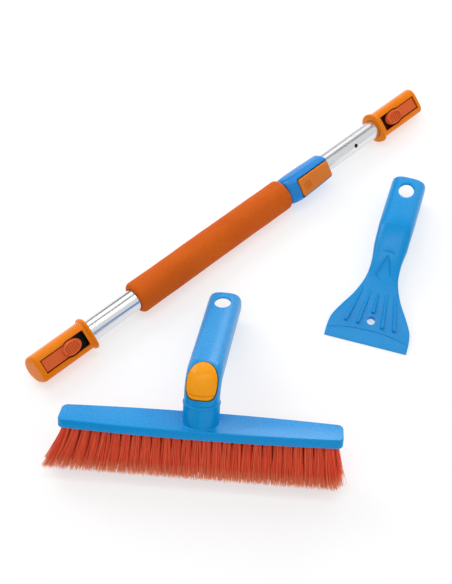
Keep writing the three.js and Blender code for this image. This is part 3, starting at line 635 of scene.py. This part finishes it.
def tube(size, start, end, lip=0.25):
    """Drawn tube with its edges broken."""
    bore, radius = size["bore"], size["radius"]
    inner = [(start + lip, bore), (start, bore + lip)]
    span = end - start - 2 * lip
    steps = round(span / 8)
    wall = [(start + lip + span * i / steps, radius) for i in range(steps + 1)]
    outer = [(start, radius - lip), *wall, (end, radius - lip)]
    return turned([*inner, *outer, (end, bore + lip), (end - lip, bore)])


def inner_tube():
    end = POLE_LENGTH - PLUG["tube"]
    xs = [PIN_HOLES["first"] + i * PIN_HOLES["pitch"] for i in range(PIN_HOLES["count"])]
    holes = [post(PIN_HOLES["radius"], 0, 30, x, segments=32) for x in xs]
    return cut(tube(INNER_TUBE, INNER_TUBE["start"], end), *holes)


def foam_grip():
    """Thick foam sleeve: full round ends and a skin that is a little uneven, as foam is."""
    start, end, radius, rounding = (FOAM[k] for k in ("start", "end", "radius", "rounding"))
    turns = [math.pi / 2 * i / 10 for i in range(11)]
    arc = [(rounding * (1 - math.cos(a)), radius - rounding * (1 - math.sin(a))) for a in turns]
    steps = 150
    straight = end - start - 2 * rounding
    profile = [(start + 0.6, FOAM["bore"])] + [(start + by, reach) for by, reach in arc]
    profile += [(start + rounding + straight * i / steps, radius) for i in range(1, steps)]
    profile += [(end - by, reach) for by, reach in reversed(arc)] + [(end - 0.6, FOAM["bore"])]
    foam = turned(profile, segments=160)
    for vertex in foam.data.vertices:
        x, y, z = vertex.co
        reach = math.hypot(y, z)
        if reach < FOAM["bore"] + 0.5:
            continue
        lump = noise.noise(Vector((x, y, z)) * 0.045) * 0.28
        pock = noise.noise(Vector((x, y, z)) * 0.7) * 0.06
        scale = 1 - (0.2 - lump - pock) / reach
        vertex.co = (x, y * scale, z * scale)
    return foam


def collar_face(x):
    """Height of the collar's lever face above the pole's axis."""
    t = (x - ROCKER["start"]) / (COLLAR["end"] - ROCKER["start"])
    return COLLAR["near_face"] + (COLLAR["far_face"] - COLLAR["near_face"]) * t


def lever_plan(grow, end):
    """The lever's outline from above: tapered towards the collar's end, with rounded corners."""
    near, corner = ROCKER["start"] - grow, ROCKER["corner"]
    wide, slim = ROCKER["start_half"] + grow, ROCKER["end_half"] + grow
    small = corner / 2
    waist, girth = 0.5 * (near + end), 0.5 * (wide + slim)
    return chain(
        (near, -wide + corner),
        ((near, -wide), (near + corner, -wide), 8),
        ((waist, -girth), (end - small, -slim), 12),
        ((end, -slim), (end, -slim + small), 6),
        ((end, 0), (end, slim - small), 4),
        ((end, slim), (end - small, slim), 6),
        ((waist, girth), (near + corner, wide), 12),
        ((near, wide), (near, wide - corner), 8),
        ((near, 0), (near, -wide + corner), 4),
    )


COLLAR_KEYS = (
    # offset from the start, half, face, back
    (0, 13.9, 14.6, 13.9),
    (0.7, 14.6, 15.4, 14.6),
    (2, 15.2, 16.2, 15.1),
    (4.5, 15.7, 17.5, 15.3),
    (8, 16, 18.9, 15.4),
    (13.2, 16.2, 20.4, 15.4),
    (25, 16, 19.7, 15.2),
    (37.7, 15.8, 18.88, 15),
    (50, 15.3, 18.1, 14.7),
    (60, 15, 17.46, 14.4),
    (63, 14.8, 17.2, 14.2),
    (64.2, 14.3, 16.7, 13.8),
    (64.7, 13.5, 15.9, 13.1),
)


def lock_collar():
    rings = []
    for offset, half, face, back in COLLAR_KEYS:
        section = {"half": half, "face": face, "back": back}
        rings.append(ring(section, at(COLLAR["start"] + offset), 3.6, 2.2, seam=SEAM))
    body = loft(rings)
    pocket = prism(lever_plan(POCKET["margin"], COLLAR["end"] + 10), POCKET["floor"], 30)
    reach = PIVOT["half"] + 0.3
    pivot = moved(rod(PIVOT["radius"] + 0.3, -reach, reach), at(PIVOT["x"], PIVOT["z"]) @ CROSSWAYS)
    near_bore = rod(OUTER_TUBE["radius"] + 0.3, COLLAR["start"] - 1, OUTER_TUBE["end"] + 7)
    far_bore = rod(INNER_TUBE["radius"] + 0.6, OUTER_TUBE["end"], COLLAR["end"] + 1)
    pin_bore = post(LOCK_PIN_BORE["radius"], 0, LOCK_PIN_BORE["top"], LOCK_PIN_BORE["x"])
    return cut(body, near_bore, far_bore, pocket, pivot, pin_bore)


def lock_rocker():
    """Rocking lever with rounded edges and five grip ribs near its foam end."""
    top = lambda x: collar_face(x) + 0.7
    base = lambda x: 17.0 - (x - ROCKER["start"]) * 0.056
    lever = rounded_prism(lever_plan(-LEVER_TRIM, ROCKER["end"]), base, top, 1.3, steps=6)
    boss = moved(rod(2.2, -9, 9), at(PIVOT["x"], PIVOT["z"] + 0.9) @ CROSSWAYS)
    ribs = []
    for i in range(5):
        x = ROCKER["start"] + 6 + i * 2.3
        rib = rectangle(x, x + 1.1, -4.5, 4.5, 0.5)
        ribs.append(rounded_prism(rib, top(x) - 1, top(x) + 0.7, 0.35, steps=3))
    bore = moved(rod(PIVOT["radius"] + 0.3, -14, 14), at(PIVOT["x"], PIVOT["z"]) @ CROSSWAYS)
    return cut(join(lever, boss, *ribs), bore)


def pole():
    outer = tube(OUTER_TUBE, PLUG["tube"], OUTER_TUBE["end"])
    place(outer, "pole_outer_tube", LOCK, "pole", ["outer_tube"], "tube_metal", TUBE)
    place(inner_tube(), "pole_inner_tube", LOCK, "inner_pole", ["inner_tube"], "tube_metal", TUBE)
    grip = place(foam_grip(), "pole_foam_grip", LOCK, "pole", ["foam_grip"], "foam", FOAM_SKIN, 60)
    place(lock_collar(), "pole_lock_collar", LOCK, "pole", ["lock_collar"], "collar_blue", COLLAR_BLUE)
    place(lock_rocker(), "pole_lock_lever", LOCK, "rocker", ["lock_rocker"], "lever_orange", LEVER)


# ---------- brush ----------


def block_outline():
    """Bowed plate seen from above, with rounded corners."""
    half, ends, corner = BLOCK["half"], BLOCK["ends"], BLOCK["corner"]
    bow = 2 * BLOCK["middle"] - ends
    return chain(
        (-half + corner, -ends),
        ((0, -bow), (half - corner, -ends), 48),
        ((half, -ends), (half, -ends + corner), 12),
        ((half, 0), (half, ends - corner), 4),
        ((half, ends), (half - corner, ends), 12),
        ((0, bow), (-half + corner, ends), 48),
        ((-half, ends), (-half, ends - corner), 12),
        ((-half, 0), (-half, -ends + corner), 4),
        ((-half, -ends), (-half + corner, -ends), 12),
    )


def brush_block():
    """Bowed plate with soft edges, a neck that flows out of it and a groove for each row of tufts."""
    plate = rounded_prism(block_outline(), -BLOCK["thick"], 0, 1.4, both=True)
    radius, height = NECK["radius"], NECK["height"]
    root = [math.pi / 2 * i / 6 for i in range(7)]
    profile = [(-4, radius + 1.6)]
    profile += [(1.8 * (1 - math.cos(a)), radius + 1.8 * (1 - math.sin(a))) for a in root]
    bead = [math.pi * i / 8 for i in range(9)]
    profile += [(height - 2.6 - math.cos(a), radius + 0.55 * math.sin(a)) for a in bead]
    profile += [(height - 1.0 + math.sin(a), radius - 1.0 * (1 - math.cos(a))) for a in root]
    neck = moved(turned(profile, centre=True), UPRIGHT)
    floor, (inner, outer) = NECK["recess_floor"], NECK["recess"]
    recess = [(floor, inner), (floor, outer), (height + 1, outer), (height + 1, inner)]
    end, side = STRIP_END + 0.5, TUFTS["base"] + 0.3
    grooves = [prism(rectangle(-end, end, y - side, y + side, 2), -30, -BLOCK["thick"] + 3.3) for y in ROWS]
    recess = moved(turned(recess), UPRIGHT)
    return cut(join(plate, neck), recess, post(SCREW["pilot"], 2, 40), *grooves)


def bristle_row(y, index):
    """One row of tufts as separate filaments that fan out, wave a little and end unevenly."""
    rand = random.Random(index + 1)
    sides, rings, per_tuft = 4, 6, 80
    shift = (1 if index % 2 else -1) * 0.5 * TUFTS["reach"] / (TUFTS["count"] - 1)
    points, faces, along, tone = [], [], [], []
    root, length = -BLOCK["thick"] + 2.6, TUFTS["length"] + 1.6
    for t in range(TUFTS["count"]):
        u = 2 * t / (TUFTS["count"] - 1) - 1
        flare = (FLARE["left"] if u < 0 else FLARE["right"]) * u * abs(u) ** 1.5
        for k in range(per_tuft):
            reach = math.sqrt((k + 0.5) / per_tuft)
            angle = 2.39996 * k + rand.uniform(-0.3, 0.3)  # the golden angle spreads them evenly
            cx, cy = reach * math.cos(angle), reach * math.sin(angle)
            stray = rand.gauss(0, 0.9 if rand.random() < 0.88 else 2.6)
            tall = length * (1 + rand.uniform(-0.06, 0.008) - 0.015 * reach**2)
            phase, wave = rand.uniform(0, 6.28), rand.uniform(0.1, 0.35)
            shade_of = rand.random()
            first = len(points)
            for r in range(rings):
                s = r / (rings - 1)
                spread = TUFTS["base"] * 0.92 + (TUFTS["tip"] * 0.99 - TUFTS["base"] * 0.92) * s**1.1
                wide = spread + 1.3 - 0.5 * s
                lean = (flare + stray) * s**1.3
                x = u * TUFTS["reach"] + shift + cx * wide + lean + wave * math.sin(phase + 9 * s) * s
                z = root - tall * s
                yy = y + cy * spread * (0.8 - 0.16 * s) + wave * math.cos(phase + 8 * s) * s
                thick = 0.3 * (1 - 0.45 * max(0.0, s - 0.7) / 0.3)
                for q in range(sides):
                    a = 2 * math.pi * q / sides + k
                    points.append(Vector((x + thick * math.cos(a), yy + thick * math.sin(a), z)))
                    along.append(s)
                    tone.append(shade_of)
            for r in range(rings - 1):
                for q in range(sides):
                    a, b = first + r * sides + q, first + r * sides + (q + 1) % sides
                    faces.append((a, b, b + sides, a + sides))
            faces.append(tuple(range(first, first + sides)))
            faces.append(tuple(range(first + (rings - 1) * sides, first + rings * sides)))
    strip = rectangle(-STRIP_END, STRIP_END, y - TUFTS["base"], y + TUFTS["base"], 1.5)
    backing = prism(strip, -BLOCK["thick"] + 0.5, -BLOCK["thick"] + 3)
    first = len(points)
    for vertex in backing.data.vertices:
        points.append(vertex.co.copy())
        along.append(0.0)
        tone.append(0.2)
    faces += [tuple(first + i for i in polygon.vertices) for polygon in backing.data.polygons]
    bpy.data.meshes.remove(backing.data)
    row = solid(points, faces)
    for name, values in (("along", along), ("tone", tone)):
        attribute = row.data.attributes.new(name, "FLOAT", "POINT")
        attribute.data.foreach_set("value", values)
    return row


def handle_at(turn, beyond=0.0):
    """Frame along the handle: up from the neck, round the bend and out to the mouth."""
    tangent = Vector((0, math.sin(turn), math.cos(turn)))
    outside = Vector((0, -math.cos(turn), math.sin(turn)))
    point = Vector((0, BEND["radius"], BEND["start"])) + outside * BEND["radius"] + tangent * beyond
    matrix = Matrix((tangent, Vector((-1, 0, 0)), outside)).transposed().to_4x4()
    matrix.translation = point
    return matrix


def handle_body(grow, seam=0.0):
    root, bend_end = 17.9, 18.2  # half widths at the neck and where the bend ends
    rings = []
    steps = 36
    for i in range(steps + 1):
        t = i / steps
        section = {"half": root + 0.3 * t, "face": root + (HANDLE["face"] + 0.6 - root) * t * t, "back": root}
        rings.append(ring(section, handle_at(t * BEND["turn"]), 2 + 0.8 * t, 2, grow, seam))
    waist = 0.45 * STRAIGHT
    for i in range(1, 25):
        t = i / 24
        beyond = t * (STRAIGHT - 12)
        early = min(1.0, beyond / waist)
        late = max(0.0, (beyond - waist) / (STRAIGHT - 12 - waist))
        half = bend_end + (HANDLE["half"] - 0.3 - bend_end) * early + 0.3 * late
        face = HANDLE["face"] + 0.6 - 0.9 * early + 0.3 * late
        back = root + 0.3 * late
        section = {"half": half, "face": face, "back": back}
        power = 2.8 + 0.2 * early + 0.1 * late
        rings.append(ring(section, handle_at(BEND["turn"], beyond), power, 2, grow, seam))
    for i in range(7):
        a = math.pi / 2 * i / 6
        beyond = STRAIGHT - 0.9 + 0.9 * math.sin(a)
        rim = grow - 0.6 * (1 - math.cos(a))
        rings.append(ring(HANDLE, handle_at(BEND["turn"], beyond), grow=rim, seam=seam))
    return loft(rings)


def socket_tools(place_at, core_depth):
    """The hollow that takes the plug, with its narrower core hole behind."""
    depth = SOCKET["depth"]
    socket = loft([ring(SOCKET, place_at(x), grow=by) for x, by in ((-depth, -1.5), (-depth + 3, 0), (1, 0))])
    core = loft([ring(SOCKET, place_at(x), grow=by) for x, by in ((-core_depth, -5), (-depth + 1, -2.6))])
    return socket, core


def latch_hole(matrix, height):
    """Oval hole whose rim flares where it meets the handle's face at this height."""
    half_length, half_width = LATCH_HOLE["half_length"], LATCH_HOLE["half_width"]
    rings = []
    flare = ((-0.75, 0.3), (-0.5, 0.8), (-0.22, 1.6), (0, 2.6), (0.3, 4.5), (3, 12))
    for z, by in ((4, 0), (height - 1.5, 0), *((height + lift, by) for lift, by in flare)):
        outline = ellipse(-LATCH_HOLE["from_mouth"], half_length + by, half_width + by)
        rings.append([matrix @ Vector((x, y, z)) for x, y in outline])
    return loft(rings)


BUTTON_AT = handle_at(BUTTON_TURN)


def button_prism(grow, bottom, top):
    outline = ellipse(0.5, BUTTON["half_length"] + grow, BUTTON["half_width"] + grow, 120, BUTTON["blunt"])
    return moved(prism(outline, bottom, top), BUTTON_AT)


def brush_handle():
    mouth = lambda x: handle_at(BEND["turn"], STRAIGHT + x)
    guide = moved(post(BUTTON_STEM["bore"], -7, 5), BUTTON_AT)
    pocket = button_prism(BUTTON["gap"], 3.5, 40)
    hole = latch_hole(mouth(0), HANDLE["face"])
    sockets = socket_tools(mouth, 102)
    screw = post(SCREW["bore"], 20, 40), post(SCREW["head_bore"], SCREW["seat"], 52)
    return cut(handle_body(0, SEAM), *sockets, hole, pocket, guide, *screw)


def swivel_button():
    """Thumb button in the bend: a curved shell with a softened edge and its stem."""
    cap = cut(handle_body(BUTTON["proud"]), handle_body(-BUTTON["thick"]))
    shell = common(cap, button_prism(0, 7, 40))
    groove = prism(rectangle(-30, 30, -40, 10), CREASE["bottom"], CREASE["top"])
    crease = cut(groove, handle_body(BUTTON["proud"] - CREASE["depth"]))
    return join(cut(shell, crease), moved(post(BUTTON_STEM["radius"], -1, 17), BUTTON_AT))


def brush():
    nodes = ["brush_block"]
    place(brush_block(), "head_block", HEAD, "head", nodes, "moulded_blue", BLUE)
    for index, y in enumerate(ROWS):
        row = bristle_row(y, index)
        name = f"bristle_row_{index + 1}"
        place(row, f"head_bristles_{index + 1}", HEAD, "head", [name], "bristles", FIBRE, 80)
    place(brush_handle(), "handle_shell", BRUSH, "brush", ["brush_handle"], "moulded_blue", BLUE)
    place(swivel_button(), "handle_button", BRUSH, "button", ["swivel_button"], "button_golden", GOLDEN)


# ---------- scraper ----------

SCRAPER_KEYS = (
    # x, half, face, back, rise, power, back power
    (0, 46.2, 0.9, 0.9, 1.2, 9, 9),
    (12, 46.2, 2.2, 2, 3.2, 9, 9),
    (24, 44.2, 2.6, 2.4, 6.2, 8, 8),
    (38, 37, 2.8, 2.6, 9.6, 7, 7),
    (56, 26.2, 3.4, 3.2, 14, 6, 6),
    (76, 18.6, 5.4, 4.8, 19, 4.6, 4.6),
    (NECK_X - 6, 17, 8.4, 8.2, 24.5, 3.6, 3.2),
    (NECK_X + 16, 19.2, 11.8, 12.8, 28.6, 3.2, 2.4),
)


def eased(keys, step):
    """Sections between the keys, on a cubic through them."""
    made = [keys[0]]
    for k in range(1, len(keys)):
        before, start, end, after = (keys[min(max(j, 0), len(keys) - 1)] for j in (k - 2, k - 1, k, k + 1))
        span = end[0] - start[0]
        parts = max(1, round(span / step))
        for i in range(1, parts + 1):
            t = i / parts
            values = []
            for c in range(len(start)):
                slope_start = (end[c] - before[c]) / (end[0] - before[0]) * span
                slope_end = (after[c] - start[c]) / (after[0] - start[0]) * span
                a = 2 * start[c] - 2 * end[c] + slope_start + slope_end
                b = 3 * end[c] - 3 * start[c] - 2 * slope_start - slope_end
                values.append(((a * t + b) * t + slope_start) * t + start[c])
            made.append(tuple(values))
    return made


def scraper_at(from_mouth):
    turn = Matrix.Rotation(SLOPE, 4, "Y")
    x, z = SCRAPER_LENGTH + from_mouth * math.cos(SLOPE), MOUTH_Z - from_mouth * math.sin(SLOPE)
    turn.translation = (x, 0, z)
    return turn


def scraper_body():
    rings = []
    for x, half, face, back, rise, power, back_power in eased(SCRAPER_KEYS, 2.5):
        section = {"half": half, "face": face, "back": back}
        rings.append(ring(section, at(x, rise), power, back_power, seam=SCRAPER_SEAM))
    for x, lower in ((-86, 2), (-84, 1.75), (-81, 1.1), (-78, 0.5), (-74, 0.18), (-68, 0)):
        half, face, back = GRIP["half"] - 0.2 * lower, GRIP["face"] - lower, GRIP["back"] - lower
        section = {"half": half, "face": face, "back": back}
        rings.append(ring(section, scraper_at(x), GRIP["power"], seam=SCRAPER_SEAM))
    for x in range(-64, -4, 4):
        rings.append(ring(GRIP, scraper_at(x), seam=SCRAPER_SEAM))
    for i in range(7):
        a = math.pi / 2 * i / 6
        rings.append(ring(GRIP, scraper_at(-0.9 + 0.9 * math.sin(a)), grow=-0.7 * (1 - math.cos(a))))
    return loft(rings)


def blade_top(x):
    """Height of the blade's top face."""
    k = next(i for i, key in enumerate(SCRAPER_KEYS) if key[0] >= x)
    low, high = SCRAPER_KEYS[k - 1], SCRAPER_KEYS[k]
    t = (x - low[0]) / (high[0] - low[0])
    return low[4] + low[2] + (high[4] + high[2] - low[4] - low[2]) * t


def fan_rib(index):
    """Raised wedge from the neck to just short of the bevel, highest at its blade end."""
    spread = (index - (FAN_RIBS - 1) / 2) / ((FAN_RIBS - 1) / 2)
    start = (35 if spread == 0 else 20, spread * RIB["start_spread"])
    end = (62 - 4 * (1 - abs(spread)), spread * RIB["end_spread"])
    run = end[0] - start[0]
    slant = (end[1] - start[1]) / run
    half, edge = RIB["width"] / 2, 0.5
    rings = []
    for x in (start[0] + run * i / 12 for i in range(13)):
        t = (x - start[0]) / run
        base = blade_top(x)
        crest = base + RIB["height"] * (1 - t) * min(1, 0.8 + t * 3) + 0.2 * t
        middle = start[1] + slant * (x - start[0])
        side = [(half + 0.3, base - 1.5), (half, max(base, crest - edge))]
        side += [(half - edge * 0.3, crest - edge * 0.3), (half - edge, crest)]
        foot = side[0]
        section = [(-foot[0], foot[1]), *side, *((-y, z) for y, z in reversed(side[1:]))]
        rings.append([Vector((x, middle + y, z)) for y, z in section])
    return loft(rings)


def teardrop():
    """Tool for the pressed-in teardrop on the neck's face, with sloping sides."""
    tip, base, half = DROP["tip"], DROP["base"], DROP["half"]
    outline = bezier((tip, 1.6), (tip + 2.5, 0), (tip, -1.6), 8)
    outline += [(tip, -1.6)] + bezier((base, -half), (base - 9, 0), (base, half), 20) + [(base, half)]
    outline.reverse()
    floor = lambda x: blade_top(x) - DROP["depth"] - DROP["extra"]
    rings = []
    middle = (tip + 2 * base) / 3
    for size, lift in ((0.78, 0), (0.84, 0.1), (0.97, 1.55), (1.05, 2.0), (1.4, 7)):
        shrunk = [(middle + (x - middle) * size, y * size) for x, y in outline]
        rings.append([Vector((x, y, floor(x) + lift)) for x, y in shrunk])
    return loft(rings)


def neck_fold():
    """Low raised fold across the face where the neck meets the handle."""
    turns = [2 * math.pi * i / 16 for i in range(16)]
    rings = []
    for i in range(25):
        t = -1 + i / 12
        x = NECK_X + FOLD["from_neck"] - FOLD["bow"] * t * t
        fade = math.sqrt(max(0.02, 1 - t * t))
        level = blade_top(x) - 1.1 * t * t - FOLD["sunk"]
        long, tall = FOLD["half_length"] * fade, FOLD["height"] * fade
        across = FOLD["half_width"] * t
        rings.append([Vector((x + long * math.cos(a), across, level + tall * math.sin(a))) for a in turns])
    return loft(rings)


def bevel_tool():
    """Ground-down strip along the edge, deepest in the middle of the blade."""
    ends, deep = BEVEL["ends"], 2 * BEVEL["middle"] - BEVEL["ends"]
    outline = [(-5, -60), (ends, -60)] + bezier((ends, -46), (deep, 0), (ends, 46), 24)
    outline += [(ends, 46), (ends, 60), (-5, 60)]
    floor = lambda x: BEVEL["height"] + BEVEL["slope"] * (x + 5)
    return prism(outline, floor, lambda x: floor(x) + 20)


def ice_scraper():
    blade = cut(scraper_body(), bevel_tool())
    ribbed = join(blade, *(fan_rib(i) for i in range(FAN_RIBS)), neck_fold())
    hole = post(BLADE_HOLE["radius"], -10, 40, BLADE_HOLE["x"])
    latch = latch_hole(scraper_at(0), GRIP["face"])
    return cut(ribbed, hole, teardrop(), *socket_tools(scraper_at, 84), latch)


def scraper():
    place(ice_scraper(), "scraper_body", SCRAPER, "scraper", ["ice_scraper"], "moulded_blue", BLUE)


# ---------- small hardware that stays as its CAD node ----------


def hardware():
    steel = ("near_connector_rivet", "far_connector_rivet", "rocker_pivot_pin", "lock_pin", "rocker_spring")
    steel += ("collar_rivet", "button_spring", "swivel_screw", "swivel_washer")
    for name in steel:
        dress(name, STEEL)
    for name in ("collar_guide_bush", "inner_tube_end_bush"):
        dress(name, BLACK)


def dress(name, material):
    node = frame["nodes"][name]
    node.data.materials.clear()
    node.data.materials.append(material)


# ---------- floor, light and camera ----------


def floor():
    data = bpy.data.meshes.new("floor")
    half = 12
    corners = [(-half, -half, 0), (half, -half, 0), (half, half, 0), (-half, half, 0)]
    data.from_pydata(corners, [], [(0, 1, 2, 3)])
    obj = bpy.data.objects.new("floor", data)
    obj.location.z = -0.0002  # just under the CAD box, so that no face lies in the floor
    bpy.context.scene.collection.objects.link(obj)
    n = Nodes("floor")
    n.finish(Base_Color=n.blend(n.remap(n.noise(3, 2), 0, 1), linear(184, 184, 184), linear(180, 180, 181)))
    n.finish(Roughness=0.9, Specular_IOR_Level=0.1, Emission_Color=(1, 1, 1, 1), Emission_Strength=0.55)
    obj.data.materials.append(n.material)


def softbox(name, position, target, size, power):
    light = bpy.data.lights.new(name, "AREA")
    light.shape = "RECTANGLE"
    light.size, light.size_y = size
    light.energy = power
    obj = bpy.data.objects.new(name, light)
    obj.location = position
    obj.rotation_mode = "QUATERNION"
    obj.rotation_quaternion = (Vector(target) - Vector(position)).to_track_quat("-Z", "Y")
    bpy.context.scene.collection.objects.link(obj)


def studio():
    """Pale room with two dark gaps that the tubes mirror, and four soft boxes."""
    world = bpy.data.worlds.new("studio")
    world.use_nodes = True
    n = Tree(world.node_tree)
    heading = n.add("ShaderNodeTexCoord").outputs["Generated"]

    def combined(operation, first, second, kind="ShaderNodeMath"):
        node = n.add(kind)
        node.operation = operation
        n.feed(node.inputs[0], first)
        n.feed(node.inputs[1], second)
        return node.outputs["Value"]

    def along(direction):
        """How far the light's direction points along another."""
        return combined("DOT_PRODUCT", heading, direction, "ShaderNodeVectorMath")

    low = n.remap(along((0, 0, 1)), 1, 0, 0.3, 0.4)
    left = n.remap(along((1, 0, 0)), 1, 0, -0.25, -0.1)
    low_left = combined("MULTIPLY", low, left)
    gap = along((0, 0.908, -0.418))
    above = combined("MULTIPLY", n.remap(gap, 0, 1, -0.11, -0.07), n.remap(gap, 1, 0, 0.07, 0.11))
    bright = n.remap(along((-0.5, 0.5, 0.7)), 0.8, 0.9, -0.5, 0.8)
    strength = n.remap(combined("MAXIMUM", low_left, above), bright, 0.04, 0, 1)
    background = next(node for node in n.tree.nodes if node.type == "BACKGROUND")
    n.set(background, "Strength", strength)
    n.set(background, "Color", (1, 1, 1, 1))
    bpy.context.scene.world = world
    softbox("overhead", (-0.55, 1.45, 1.6), (0, 0, 0), (1.7, 0.75), 3.5)
    softbox("top", (0.1, 0.13, 1.8), (0.1, 0, 0), (1.6, 0.26), 5)
    softbox("back", (0.76, 1.8, 0.3), (0, 0, 0.05), (1.3, 0.35), 9)
    softbox("window", (-1.2, 1.1, 1.1), (0, 0, 0), (0.8, 1.2), 10)
    bpy.context.scene.view_settings.view_transform = "Standard"


def camera():
    elevation, distance = math.radians(55), 1.35
    target = Vector((-0.0146, -0.0182, 0))
    back = Vector((0, -math.cos(elevation), math.sin(elevation)))
    data = bpy.data.cameras.new("camera")
    data.lens = 73.2
    obj = bpy.data.objects.new("camera", data)
    obj.location = target + back * distance
    obj.rotation_mode = "QUATERNION"
    obj.rotation_quaternion = (-back).to_track_quat("-Z", "Y")
    bpy.context.scene.collection.objects.link(obj)
    bpy.context.scene.camera = obj


camera()
floor()
studio()
connectors()
pole()
brush()
scraper()
hardware()
